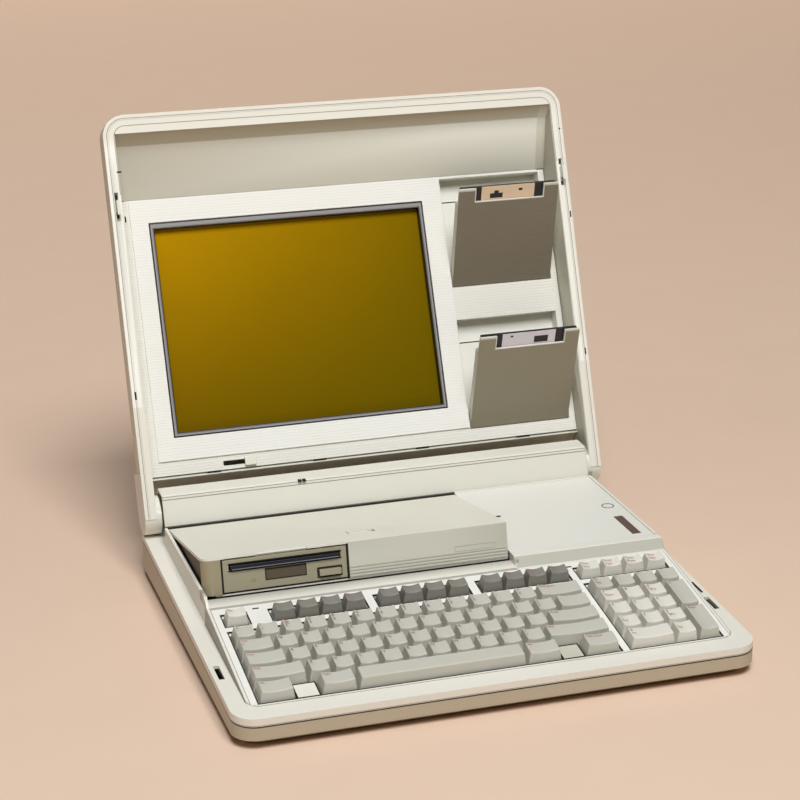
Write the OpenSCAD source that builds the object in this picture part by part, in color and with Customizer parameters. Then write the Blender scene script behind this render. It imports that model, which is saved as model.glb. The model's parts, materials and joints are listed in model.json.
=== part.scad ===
// Vintage luggable computer, standing open on a table.
// The base rim plane leans up to the rear by base_rake, and all base pieces are drawn on it.
// The table is z = 0, X runs to the right and Y to the rear, and the origin is under the middle.

/* [Case] */
// Width of the case beside the keys, on each side
side_w = 23.175; // [22.8:0.025:30]
// Depth of the case from front rim to rear wall
case_d = 361; // [358:1:368]
// Radius of the case corners in plan
corner_r = 19; // [14:1:24]
// Height of the front rim above the table
front_h = 25.5; // [24:0.5:30]
// Angle by which the rim plane rises to the rear
base_rake = 2.4; // [1.6:0.1:3]
// Thickness of the moulded walls
wall_t = 2.5; // [2:0.1:3]
// Depth of the seam between upper and lower case below the rim
seam_z = 6.3; // [5:0.1:9]
// Width of the flat rim beside the raised deck
rim_w = 13.8; // [13:0.1:15]
// Height of the lower case edge above the table
skirt_h = 8; // [7:0.5:10]
// Inset of the belly pan from the case side
pan_inset = 9; // [7:0.5:14]

/* [Deck and keyboard] */
// Pitch of one key
key_u = 19.05; // [18.7:0.05:19.3]
// Front edge of the key wells behind the front rim
key_y0 = 22; // [21:0.5:26]
// Height of the keyboard panel above the rim at the wells' front edge
key_z0 = 0.5; // [0:0.1:1.5]
// Slope of the keyboard panel
key_tilt = 6.5; // [5.5:0.1:7]
// Height of the keytops above the keyboard panel
key_h = 8.6; // [7.5:0.1:9.2]
// Travel of a key
key_travel = 3.5; // [2.5:0.1:4]
// Gap between the main keys and the keypad
keypad_gap = 8.3; // [7:0.1:9.5]
// Height of the deck above the rim at its front edge
deck_z = 22.6; // [22:0.2:24]
// Distance of the deck's front edge from the front rim
deck_y = 162; // [160:0.5:166]
// Place of the parting line between drive pod and right deck
pod_x1 = 64; // [50:1:80]

/* [Hinge and lid] */
// Distance of the hinge axis ahead of the rear wall
hinge_back = 18.7; // [17:0.1:20]
// Height of the hinge axis above the rim plane
hinge_z = 17.1; // [16.8:0.1:18.5]
// Radius of the hinge pins
pin_r = 3; // [2:0.25:4]
// Radial play of a pin in its bore
pin_play = 0.05; // [0.02:0.01:0.1]
// Angle by which the open lid leans back from the rim plane's normal
lid_lean = 22.7; // [15:0.1:30]
// Depth of the display panel below the lid rim at its bottom edge
panel_d0 = 24; // [23:0.5:28]
// Slope of the display panel against the lid rim
panel_tilt = 2.56; // [2:0.02:3.2]
// Overall thickness of the lid
lid_t = 58; // [56:1:66]
// Width of the lid's rim
lid_rim = 10; // [9:0.5:11]
// Width of the visible screen
screen_w = 241; // [230:1:244]
// Height of the visible screen
screen_h = 178; // [170:1:181]

/* [Pockets and diskettes] */
// Width of a diskette
disk_w = 90; // [88:0.5:91]
// Length of a diskette
disk_l = 94; // [92:0.5:95]
// Thickness of a diskette
disk_t = 3.3; // [3:0.1:3.6]
// Opening angle of the upper pocket
pocket_open_a = 34.5; // [25:0.5:38]
// Opening angle of the lower pocket
pocket_open_b = 38.5; // [25:0.5:40]

/* [Drive pod] */
// Opening angle of the drive pod
pod_open = 10.5; // [6:0.25:11]
// Width of the drive's front bezel beside the diskette, on each side
drive_side = 5.8; // [5.2:0.1:7]
// Height of the pod's front face
pod_face_h = 30; // [26:0.5:31]

/* [Hidden] */
$fn = 48;

gap = 0.4;
case_w = 19 * key_u + keypad_gap + 2 * side_w;
hinge_y = case_d - hinge_back;
drive_w = disk_w + 2 * drive_side;
big = case_w + case_d;
x_side = case_w / 2;
deck_x = x_side - rim_w;
inner_x = deck_x - wall_t;
deck_slope = base_rake;
pan_h = 2.5;
ledge_y = key_y0 + 7 * key_u * cos(key_tilt);
function kb_z(y) = key_z0 + (y - key_y0) * tan(key_tilt);
function deck_top(y) = deck_z - (y - deck_y) * tan(deck_slope);
ridge_y0 = hinge_y - 25.2;
ridge_y1 = hinge_y - 14.3;
ridge_y2 = hinge_y + 3.7;
ridge_y3 = hinge_y + 9.7;
ridge_top = hinge_z + 23;

// Lid measures: s runs up the lid from the closed rear, and depth runs into the lid from its rim plane
hinge_s = hinge_back + 7;
lid_s1 = hinge_y + hinge_s;
arm_in = x_side - lid_rim;
arm_r = hinge_z - 0.6;
bottom_s = 55;
back_s = 43;
bezel_s0 = 69;
bezel_s1 = lid_s1 - 70;
function panel_d(s) = panel_d0 + (s - bezel_s0) * tan(panel_tilt);

// Reach of the leaning lid behind the front rim: the origin is under the middle of it
shell_back = 10;
lean_s = lid_s1 - shell_back - hinge_s;
lean_d = lid_t - hinge_z;
reach = (hinge_y + lean_s * sin(lid_lean) + lean_d * cos(lid_lean)) * cos(base_rake)
    - (hinge_z + lean_s * cos(lid_lean) - lean_d * sin(lid_lean)) * sin(base_rake);

module box(a, b) { translate(a) cube(b - a); }

module round_rect(x0, x1, y0, y1, r) {
    translate([x0 + r, y0]) square([x1 - x0 - 2 * r, y1 - y0]);
    translate([x0, y0 + r]) square([x1 - x0, y1 - y0 - 2 * r]);
    for (x = [x0 + r, x1 - r], y = [y0 + r, y1 - r]) translate([x, y]) circle(r);
}

module case_plan(inset) {
    round_rect(-x_side + inset, x_side - inset, inset, case_d - inset, corner_r - inset / 2);
}

// Places a piece drawn on the rim plane
module on_rim() {
    translate([0, -reach / 2, front_h * cos(base_rake)]) rotate([base_rake, 0, 0]) children();
}

// Places a piece drawn level with the table, with z measured from the table
module level() { translate([0, -reach / 2, 0]) children(); }

// Extrudes a profile drawn in Y and Z along X
module along_x(x0, x1) {
    translate([x0, 0, 0]) rotate([90, 0, 90]) linear_extrude(x1 - x0) children();
}

// Lid pieces are drawn with x to the right, y up the lid and z out of its rim plane
module on_lid() {
    on_rim() translate([0, hinge_y, hinge_z]) rotate([90 - lid_lean, 0, 0])
        translate([0, -hinge_s, hinge_z]) children();
}

// The display panel's own plane inside the lid, with its origin at the bezel's bottom edge
module on_panel() {
    on_lid() translate([0, bezel_s0, -panel_d0]) rotate([-panel_tilt, 0, 0]) children();
}

// Pod pieces are drawn closed on the rim plane, and stand opened about the pod's pins
pod_y = hinge_y - 36;
pod_z = 11;
module on_pod() {
    on_rim() translate([0, pod_y, pod_z]) rotate([-pod_open, 0, 0])
        translate([0, -pod_y, -pod_z]) children();
}

// The keyboard's own plane, with its origin at the front left corner of the key wells
key_x0 = -(15 * key_u + keypad_gap + 4 * key_u) / 2;
module on_keys() {
    on_rim() translate([key_x0, key_y0, key_z0]) rotate([key_tilt, 0, 0]) children();
}

// Base

lip_y = key_y0 - 4;
module belly_cut(h) { translate([-big / 2, -big / 3, h]) cube([big, big, 200]); }

module below_seam(z) { on_rim() translate([-big / 2, -big / 3, -200]) cube([big, big, 200 + z]); }

foot_x = x_side - 44;
foot_y = [42, case_d - 44];
module feet_at() { for (x = [-foot_x, foot_x], y = foot_y) translate([x, y, 0]) children(); }

handle_r = 4;
handle_x = 84;
handle_z = 26;
handle_drop = 15;
handle_pin_r = 2.5;
handle_y = case_d + 5.5;
rear_x = x_side - corner_r - 4;
rear_z = [skirt_h + wall_t, 33];
port_a = [-x_side + 36, -x_side + 96];
port_b = [x_side - 104, x_side - 70];
port_z = [16, 28];
boss_r = 3.6;
screw_r = 1.5;
screw_x = x_side - 24;
screw_y = [54, case_d - 60];
module screws_at() { for (x = [-screw_x, screw_x], y = screw_y) translate([x, y, 0]) children(); }

module bottom_case() color([0.85, 0.84, 0.79]) {
    difference() {
        intersection() {
            below_seam(-seam_z - 0.1);
            level() union() {
                intersection() { linear_extrude(60) case_plan(0); belly_cut(skirt_h); }
                intersection() { linear_extrude(60) case_plan(pan_inset); belly_cut(pan_h); }
            }
        }
        level() intersection() { linear_extrude(60) case_plan(wall_t); belly_cut(skirt_h + wall_t); }
        level() intersection() {
            linear_extrude(60) case_plan(pan_inset + wall_t);
            belly_cut(pan_h + wall_t);
        }
        level() feet_at() translate([0, 0, -1]) cylinder(h = 1.8 + pan_h, r = 9.3);
        level() screws_at() cylinder(h = 20, r = screw_r + pin_play);
        level() box([-rear_x, case_d - 20, rear_z[0]], [rear_x, case_d + 20, rear_z[1]]);
        on_rim() box([x_side - 9, power_y - 8.4, -21.4], [x_side + 9, power_y + 8.4, -11.6]);
    }
    level() screws_at() difference() {
        translate([0, 0, pan_h + wall_t - 0.5]) cylinder(h = 11, r = boss_r);
        cylinder(h = 20, r = screw_r + pin_play);
    }
}

// The rear wall between the corners, with its port openings
module rear_panel() color([0.85, 0.84, 0.79]) level() difference() {
    box([-rear_x, case_d - wall_t, rear_z[0]], [rear_x, case_d, rear_z[1]]);
    for (p = [port_a, port_b]) box([p[0], case_d - 20, port_z[0]], [p[1], case_d + 20, port_z[1]]);
}

module handle_brackets() color([0.85, 0.84, 0.79]) level() for (k = [-1, 1]) difference() {
    box([k * (handle_x + 7.5) - 3, case_d, handle_z - 6],
        [k * (handle_x + 7.5) + 3, handle_y + 4.5, handle_z + 6]);
    translate([k * (handle_x + 7.5), handle_y, handle_z]) rotate([0, 90, 0])
        cylinder(h = 10, r = handle_pin_r + pin_play, center = true);
}

module rubber_feet() color([0.2, 0.2, 0.2]) level() feet_at() cylinder(h = pan_h + 0.7, r = 9);

module case_screws() color([0.55, 0.55, 0.57]) level() screws_at() {
    translate([0, 0, pan_h - 1.6]) cylinder(h = 1.5, r = 2.8);
    translate([0, 0, pan_h - 0.2]) cylinder(h = 10, r = screw_r);
}

// Outline of the raised deck seen from the side, down to z0 and shrunk by t
module deck_profile(t, z0) {
    polygon([[lip_y + t, z0], [lip_y + t, kb_z(lip_y) - t], [ledge_y, kb_z(ledge_y) - t],
        [deck_y + t / 2, deck_top(deck_y) - t], [ridge_y0 - 0.6, deck_top(ridge_y0) - t],
        [ridge_y0 - 0.6, z0]]);
}

latch_y = 78;
pod_front = ledge_y + 22;
ledge_back = pod_front - 3.2;
ledge_z = kb_z(ledge_y) + 0.2;
module top_case() color([0.9, 0.89, 0.85]) on_rim() difference() {
    union() {
        difference() {
            translate([0, 0, -seam_z]) linear_extrude(seam_z) case_plan(0);
            translate([0, 0, -seam_z - 1]) linear_extrude(seam_z + 1 - wall_t) case_plan(wall_t);
            box([-inner_x, lip_y + wall_t, -10], [inner_x, ridge_y0 + 1, 10]);
        }
        difference() {
            along_x(-deck_x, deck_x) deck_profile(0, -wall_t);
            along_x(-inner_x, inner_x) deck_profile(wall_t, -wall_t - 1);
        }
        // The ledge in front of the pod, tied to the side wall and to the deck
        box([-deck_x + 1, ledge_y, ledge_z - wall_t], [pod_x1 + 1, ledge_back, ledge_z]);
        box([pod_x1, ledge_y + 3, ledge_z - wall_t], [pod_x1 + wall_t, deck_y + 2 * wall_t,
            deck_top(deck_y + 2 * wall_t) - 1]);
    }
    box([-inner_x, lip_y + wall_t, -10], [inner_x, ledge_y - wall_t, 60]);
    box([-inner_x, deck_y + 3 * wall_t, -10], [inner_x, ridge_y0 - 3, 60]);
    box([-inner_x, ledge_y - 6, -10], [pod_x1, ledge_y, 60]);
    box([-inner_x, ledge_y - 6, ledge_z], [pod_x1, ridge_y0 - 3, 60]);
    box([-inner_x, ledge_back, -10], [pod_x1, ridge_y0 - 3, 60]);
    box([-inner_x, ledge_y - 6, -10], [pod_x1, ridge_y0 - 3, ledge_z - wall_t]);
    for (k = [-1, 1]) translate([k * latch_x, latch_y, -4])
        cube([latch_t + 2, latch_run, 12], center = true);
}

well_d = 6.5;
// Key wells as [x, y, width, depth] in key pitches
main_wells = [[0, 0, 15, 5.05], [0, 5.5, 1, 0.85], [2, 5.5, 4, 0.85], [6.5, 5.5, 4, 0.85],
    [11, 5.5, 4, 0.85]];
pad_x = 15 * key_u + keypad_gap;
pad_wells = [[0, 0, 4, 5.05], [0, 5.5, 4, 0.85]];
module keyboard_panel() color([0.92, 0.92, 0.89]) difference() {
    on_rim() along_x(-inner_x + gap, inner_x - gap) polygon([
        [lip_y + wall_t + gap, kb_z(lip_y) - 4], [lip_y + wall_t + gap, kb_z(lip_y + wall_t)],
        [ledge_y - wall_t - gap, kb_z(ledge_y - wall_t)], [ledge_y - wall_t - gap, kb_z(ledge_y) - 4]]);
    on_keys() {
        for (w = main_wells) translate([w[0] * key_u - 0.5, w[1] * key_u - 0.5, -20])
            cube([w[2] * key_u + 1, w[3] * key_u + 1, 40]);
        for (w = pad_wells) translate([pad_x + w[0] * key_u - 0.5, w[1] * key_u - 0.5, -20])
            cube([w[2] * key_u + 1, w[3] * key_u + 1, 40]);
    }
}

plate_z = -9;
module key_switch_plate() color([0.2, 0.2, 0.22]) on_keys() {
    difference() {
        box([-2, 1, plate_z - 1.6], [pad_x + 4 * key_u + 2, 6.6 * key_u, plate_z]);
        for (y = [0.5, 1.5, 2.5, 3.5, 4.5, f_y + f_d / 2])
            box([1, y * key_u - 3, plate_z - 5], [pad_x + 4 * key_u - 1, y * key_u + 3, plate_z + 5]);
        box([pad_x + 3.2 * key_u, 2, plate_z - 5], [pad_x + 3.8 * key_u, 4.9 * key_u, plate_z + 5]);
    }
    box([-2, 1, plate_z], [0, 6.6 * key_u, -4.6]);
    box([pad_x + 4 * key_u, 1, plate_z], [pad_x + 4 * key_u + 2, 6.6 * key_u, -4.6]);
}

status_x = inner_x - 13;
status_y = deck_y + 14;
module deck_cover() color([0.92, 0.92, 0.89]) on_rim() difference() {
    along_x(pod_x1 + gap, inner_x - gap) difference() {
        polygon([[deck_y + 3 * wall_t + gap, 12], [deck_y + 3 * wall_t + gap, deck_top(deck_y + 8)],
            [ridge_y0 - 3 - gap, deck_top(ridge_y0)], [ridge_y0 - 3 - gap, 9]]);
        polygon([[deck_y + 3 * wall_t + 4, 0], [deck_y + 3 * wall_t + 4, deck_top(deck_y) - wall_t],
            [ridge_y0 - 7, deck_top(ridge_y0) - wall_t], [ridge_y0 - 7, 0]]);
    }
    box([status_x - 4, status_y, 0], [status_x + 4, status_y + 42, 60]);
}

module status_window() color([0.25, 0.23, 0.22]) on_rim()
    along_x(status_x - 3.7, status_x + 3.7) polygon([[status_y + 0.3, deck_top(status_y) - 2.6],
        [status_y + 0.3, deck_top(status_y) - 0.3], [status_y + 41.7, deck_top(status_y + 41) - 0.3],
        [status_y + 41.7, deck_top(status_y + 41) - 2.6]]);

// Hump over the hinge between the lid's arms
module ridge_profile(t) {
    polygon([[ridge_y0 + t, 0], [ridge_y0 + t, deck_top(ridge_y0) - 2],
        [ridge_y1 + t * 0.8, ridge_top - t], [ridge_y2 - t * 0.6, ridge_top - 0.4 - t],
        [ridge_y3 - t, ridge_top - 5 - t], [hinge_y + 16 - t, hinge_z + 3], [hinge_y + 17 - t, 0]]);
}
ridge_x = arm_in - 5;
module hinge_cover() color([0.9, 0.89, 0.85]) on_rim() {
    along_x(-ridge_x, ridge_x) difference() {
        ridge_profile(0);
        translate([0, -0.1]) ridge_profile(wall_t);
    }
}

module hinge_pins() color([0.6, 0.6, 0.62]) on_rim() for (k = [-1, 1]) {
    translate([k * (arm_in - 14.5), hinge_y, hinge_z]) rotate([0, k * 90, 0])
        cylinder(h = 14.5 + lid_rim - 2.5, r = pin_r);
    translate([k * (ridge_x - 8), hinge_y, hinge_z / 2 + 2]) cube([5, 18, hinge_z + 4], center = true);
}

floor_z = pan_h + wall_t;
board_x = screw_x - 8;
board_y1 = case_d - 146;
module main_board() color([0.1, 0.35, 0.2]) level() {
    box([-board_x, 24, floor_z + 4], [board_x, board_y1, floor_z + 5.6]);
    for (x = [-board_x + 16:60:board_x - 34], y = [60, 110])
        box([x, y, floor_z + 5.6], [x + 34, y + 26, floor_z + 8.4]);
    for (x = [-board_x + 10, board_x - 10], y = [40, board_y1 - 15]) 
        translate([x, y, floor_z]) cylinder(h = 4, r = 3.5);
}

supply_w = 106;
supply_l = 74;
supply_h = 42;
supply_x = inner_x - 16 - supply_w;
supply_y = case_d - 59 - supply_l;
module power_supply() color([0.6, 0.62, 0.64]) level() difference() {
    box([supply_x, supply_y, floor_z], [supply_x + supply_w, supply_y + supply_l, supply_h]);
    box([supply_x + wall_t, supply_y + wall_t, floor_z + wall_t],
            [supply_x + supply_w - wall_t, supply_y + supply_l - wall_t, supply_h - wall_t]);
    for (y = [supply_y + 12:10:supply_y + supply_l - 10])
        box([supply_x - 2, y, 18], [supply_x + 6, y + 4, 34]);
}

module battery_pack() color([0.25, 0.25, 0.28]) level()
    box([supply_x - 130, supply_y, floor_z], [supply_x - 15, supply_y + supply_l, 17]);

module rear_connectors() color([0.15, 0.15, 0.16]) level() for (p = [port_a, port_b])
    difference() {
        box([p[0] + gap, case_d - 16, port_z[0] + gap], [p[1] - gap, case_d - 0.8, port_z[1] - gap]);
        box([p[0] + 4, case_d - 9, port_z[0] + 3], [p[1] - 4, case_d + 5, port_z[1] - 3]);
    }

power_y = 300;
power_travel = 3;
module power_button() color([0.3, 0.3, 0.32]) on_rim()
    box([x_side - 7, power_y - 8, -21], [x_side - 0.3, power_y + 8, -12]);

module carry_handle() color([0.3, 0.3, 0.31]) level() {
    for (k = [-1, 1]) {
        translate([k * (handle_x + 6.2), handle_y, handle_z]) rotate([0, 90, 0])
            cylinder(h = 8.4, r = handle_pin_r, center = true);
        translate([k * handle_x, handle_y, handle_z]) rotate([0, 90, 0])
            cylinder(h = 7, r = handle_r, center = true);
        box([k * handle_x - 3.5, handle_y - handle_r + 0.5, handle_z - handle_drop],
            [k * handle_x + 3.5, handle_y + handle_r - 0.5, handle_z]);
    }
    translate([0, handle_y, handle_z - handle_drop]) rotate([0, 90, 0])
        cylinder(h = 2 * handle_x + 7, r = handle_r, center = true);
}

// Drive pod

pod_x0 = -inner_x + 0.6;
pod_l = ridge_y0 - 6 - pod_front;
drive_x0 = pod_x0 + 16.3;
drive_l = 116;

// Inside the pod: y runs back from its front face, and z is 0 on its top plate
module in_pod() {
    on_pod() translate([0, pod_front, deck_top(pod_front)]) rotate([-deck_slope, 0, 0]) children();
}

face_t = 2.5;
pod_r = 8;
finger_x = [drive_x0 + 28, drive_x0 + drive_w - 32];
latch_x0 = drive_x0 + drive_w + 10.5;
latch_y0 = 28;
module pod_cover() color([0.91, 0.91, 0.88]) in_pod() {
    intersection() {
        translate([pod_x0 + pod_r, pod_r, -pod_face_h]) difference() {
            cylinder(h = pod_face_h, r = pod_r);
            translate([0, 0, -1]) cylinder(h = pod_face_h + 2, r = pod_r - face_t);
        }
        box([pod_x0 - 1, -1, -pod_face_h], [pod_x0 + pod_r, pod_r, 0]);
    }
    difference() {
        along_x(pod_x0, pod_x1 - gap) polygon([[0, -pod_face_h], [0, 0], [pod_l, 0], [pod_l, -face_t],
            [face_t, -face_t], [face_t, -pod_face_h]]);
        box([drive_x0 - 0.5, -1, -pod_face_h - 1], [drive_x0 + drive_w + 0.5, face_t + 1, -1.4]);
        box([latch_x0, latch_y0, -10], [latch_x0 + 23, latch_y0 + 10, 10]);
        along_x(finger_x[0], finger_x[1]) polygon([[-1, -9], [-1, 1], [4, 1]]);
        difference() {
            box([pod_x0 - 1, -1, -pod_face_h - 1], [pod_x0 + pod_r, pod_r, 5]);
            translate([pod_x0 + pod_r, pod_r, -50]) cylinder(h = 100, r = pod_r);
        }
    }
}

tray_x0 = pod_x0 + 1.5;
tray_x1 = pod_x1 - gap - 1.5;
tray_y0 = face_t + gap;
tray_t = 1.5;
pod_pin_r = 1.5;
module pod_tray() color([0.45, 0.4, 0.33]) difference() {
    in_pod() difference() {
        along_x(tray_x0, tray_x1) polygon([[tray_y0, -pod_face_h], [tray_y0, -face_t - 0.2],
            [pod_l - 1, -face_t - 0.2], [pod_l - 1, -pod_face_h + 14], [pod_l - 12, -pod_face_h]]);
        along_x(tray_x0 + tray_t, tray_x1 - tray_t) polygon([[0, -pod_face_h + tray_t], [0, 5],
            [pod_l - 1 - tray_t, 5], [pod_l - 1 - tray_t, -pod_face_h + 14 + tray_t],
            [pod_l - 12 - tray_t, -pod_face_h + tray_t]]);
        box([tray_x0 - 1, 0, -pod_face_h - 1], [drive_x0 - 1, 8, 5]);
    }
    on_rim() translate([0, pod_y, pod_z]) rotate([0, 90, 0])
        cylinder(h = big, r = pod_pin_r + pin_play, center = true);
}

module pod_pins() color([0.6, 0.6, 0.62]) on_rim() {
    translate([-inner_x, pod_y, pod_z]) rotate([0, 90, 0]) cylinder(h = 4.5, r = pod_pin_r);
    translate([tray_x1 - 3, pod_y, pod_z]) rotate([0, 90, 0])
        cylinder(h = pod_x1 - tray_x1 + 6, r = pod_pin_r);
    difference() {
        box([pod_x1 + gap, pod_y - 5, -3], [pod_x1 + 5, pod_y + 3.4, pod_z - 0.4]);
        translate([0, pod_y, pod_z]) rotate([0, 90, 0]) cylinder(h = big, r = pod_pin_r);
    }
}

drive_z = -pod_face_h + tray_t + 0.2;
drive_h = 23.5;
slot_z = -9;
slot_w = disk_w + 2;
module floppy_drive() color([0.6, 0.6, 0.58]) in_pod() difference() {
    box([drive_x0, 4, drive_z], [drive_x0 + drive_w, 4 + drive_l, drive_z + drive_h]);
    box([drive_x0 + (drive_w - slot_w) / 2, 0, slot_z - 2.4],
        [drive_x0 + (drive_w + slot_w) / 2, disk_l + 8, slot_z + 2.4]);
    box([drive_x0 + eject_x[0] - 1, 0, drive_z + 2], [drive_x0 + eject_x[1] + 1, 16, drive_z + 11]);
}

lamp_x = 24;
eject_x = [78, 96];
small_z = -pod_face_h + 8;
module drive_bezel() color([0.71, 0.68, 0.56]) in_pod() difference() {
    box([drive_x0, 0.2, -pod_face_h + 0.4], [drive_x0 + drive_w, face_t + 0.1, -face_t - 0.2]);
    translate([drive_x0 + drive_w / 2, 2, slot_z]) cube([slot_w, 10, 4.8], center = true);
    box([drive_x0 + 34, -1, slot_z - 13], [drive_x0 + 68, 1.2, slot_z - 4]);
    box([drive_x0 + eject_x[0] - 0.5, -1, small_z - 3], [drive_x0 + eject_x[1] + 0.5, 6, small_z + 3]);
    translate([drive_x0 + lamp_x, 0, small_z]) rotate([90, 0, 0]) cylinder(h = 20, r = 1.8, center = true);
}

eject_travel = 3;
module eject_button() color([0.75, 0.72, 0.6]) in_pod()
    box([drive_x0 + eject_x[0], -3, small_z - 2.5], [drive_x0 + eject_x[1], 9, small_z + 2.5]);

module drive_lamp() color([0.5, 0.7, 0.2]) in_pod()
    translate([drive_x0 + lamp_x, 2.1, small_z]) rotate([90, 0, 0]) cylinder(h = 3, r = 1.7, center = true);

disk_out = 2.2;
module drive_diskette() color([0.07, 0.07, 0.1]) in_pod()
    translate([drive_x0 + drive_w / 2, disk_l / 2 - disk_out, slot_z])
        cube([disk_w, disk_l, disk_t], center = true);

module pod_latch() color([0.88, 0.88, 0.84]) in_pod()
    box([latch_x0 + gap, latch_y0 + gap, -face_t - 2.5], [latch_x0 + 17, latch_y0 + 10 - gap, 0.8]);

disk_x0 = drive_x0 + drive_w + 7.5;
disk_x1 = tray_x1 - 26.1;
module hard_disk() color([0.5, 0.5, 0.52]) in_pod() difference() {
    box([disk_x0, 6, drive_z], [disk_x1, 120, drive_z + 22]);
    box([disk_x0 + 10, 110, drive_z + 4], [disk_x1 - 16, 130, drive_z + 12]);
}

// Lid

module lid_plan(inset, s0) {
    round_rect(-x_side + inset, x_side - inset, s0, lid_s1 - inset, corner_r - inset / 2);
}

rim_d0 = 0.5;
rim_t = 2.5;
window_s1 = lid_s1 - 16;
brand_s = lid_s1 - 25.5;
brand_d = 13.5;
arm_s1 = 62;
latch_x = x_side - 5.8;
latch_t = 2.4;
latch_l = 10;
latch_run = 22;
latch_travel = 5;
latch_s = lid_s1 - latch_y;
brand_profile = [[window_s1 + 4, -rim_d0], [window_s1, -rim_d0 - 0.5], [brand_s, -brand_d],
    [bezel_s1 + 0.4, -panel_d(bezel_s1)], [bezel_s1 + 0.4, -panel_d(bezel_s1) - rim_t],
    [brand_s + 1, -brand_d - rim_t], [window_s1 + 4, -rim_t - 1]];
// The lid's lower wall leans away from the hinge cover
wall_d0 = panel_d(bottom_s);
function wall_s(z) = bottom_s - 0.5 + (back_s - bottom_s) * (z + wall_d0) / (8 - lid_t + wall_d0);
module lid_frame() color([0.9, 0.89, 0.85]) on_lid() difference() {
    union() {
        difference() {
            translate([0, 0, -rim_d0 - rim_t]) linear_extrude(rim_t) lid_plan(0, hinge_s);
            box([-arm_in, -10, -20], [arm_in, window_s1, 10]);
            box([-big, 0, -20], [big, arm_s1 - 1, 10]);
        }
        along_x(-arm_in, arm_in) polygon(brand_profile);
        for (k = [-1, 1]) {
            along_x(k > 0 ? arm_in : -arm_in - 2, k > 0 ? arm_in + 2 : -arm_in) polygon([
                [arm_s1 - 2, -rim_d0], [window_s1 + 4, -rim_d0], [brand_s, -brand_d - rim_t],
                [bezel_s1, -panel_d(bezel_s1) - 3], [bottom_s, -panel_d(bottom_s) - 3]]);
            along_x(k > 0 ? arm_in : -x_side, k > 0 ? x_side : -arm_in) {
                translate([hinge_s, -hinge_z]) circle(r = arm_r);
                translate([hinge_s, -hinge_z - arm_r]) square([arm_s1 - hinge_s, 2 * arm_r]);
            }
            along_x(k > 0 ? ridge_x + 0.5 : -arm_in - 1, k > 0 ? arm_in + 1 : -ridge_x - 0.5)
                translate([hinge_s, -hinge_z]) circle(r = arm_r);
        }
        for (e = [[2, -lid_t + 8], [0, -lid_t + 18]]) along_x(-arm_in + e[0], arm_in - e[0]) polygon([
            [bottom_s + 1.4, -panel_d(bottom_s) - 2.7], [bottom_s + 0.6, -panel_d(bottom_s) - 0.6],
            [bottom_s - 0.5, -panel_d(bottom_s)], [wall_s(e[1]), e[1]], [wall_s(e[1]) + 2.6, e[1]]]);
    }
    translate([0, hinge_s, -hinge_z]) rotate([0, 90, 0])
        cylinder(h = 2 * (x_side - 2), r = pin_r + pin_play, center = true);
    for (k = [-1, 1]) translate([k * latch_x, latch_s, 0])
        cube([latch_t + 0.8, latch_run + 2, 10], center = true);
}

module lid_shell() color([0.85, 0.84, 0.79]) on_lid() difference() {
    union() {
        translate([0, 0, -20]) linear_extrude(20 - rim_d0 - rim_t - 0.2) lid_plan(0, back_s - 8);
        hull() {
            translate([0, 0, -20]) linear_extrude(0.1) lid_plan(0, back_s - 8, $fn = 32);
            translate([0, 0, -lid_t]) linear_extrude(0.1) lid_plan(shell_back, back_s - 8, $fn = 32);
        }
    }
    translate([0, 0, -20.1]) linear_extrude(40) lid_plan(wall_t, back_s - 30);
    hull() {
        translate([0, 0, -20]) linear_extrude(0.1) lid_plan(wall_t, back_s - 30, $fn = 32);
        translate([0, 0, -lid_t + wall_t]) linear_extrude(0.1)
            lid_plan(shell_back + wall_t, back_s - 30, $fn = 32);
    }
    along_x(-big, big) polygon([[bottom_s + 0.5, 10], [bottom_s + 0.5, -20],
        [back_s - 0.6, -lid_t + 8], [back_s - 4, -lid_t - 5], [-50, -lid_t - 5], [-50, 10]]);
    along_x(-big, big) polygon([[arm_s1 + 0.4, 10], [arm_s1 + 0.4, -hinge_z - arm_r - 0.4],
        [0, -hinge_z - arm_r - 0.4], [0, 10]]);
}

// The display panel's own plane: x across, y up from the bezel's bottom edge
panel_x = arm_in - 0.4;
panel_y1 = (bezel_s1 - bezel_s0) / cos(panel_tilt) - 0.4;
panel_y0 = -(bezel_s0 - bottom_s) / cos(panel_tilt) + 2;
pocket_w = disk_w + 4;
bezel_x = [-x_side + 20.8, arm_in - pocket_w - 8.3];
screen_x0 = (bezel_x[0] + bezel_x[1] - screen_w) / 2 - 1.25;
screen_y0 = (panel_y1 - screen_h) / 2 - 0.9;
trim_l = 4;
trim_top = 5.5;
pocket_l = disk_l;
pocket_t = 8;
pocket_x0 = bezel_x[1] + 1.6;
pocket_ya = panel_y1 - disk_l - 4.63;
pocket_yb = 1.5;
well_t = 1.5;
well_l = disk_l + 5;
well_depth = 9.8;
recess_depth = 13;
recess_l = 20;
slot_x0 = bezel_x[0] + 56.5;
slot_y0 = -8.5;
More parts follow.
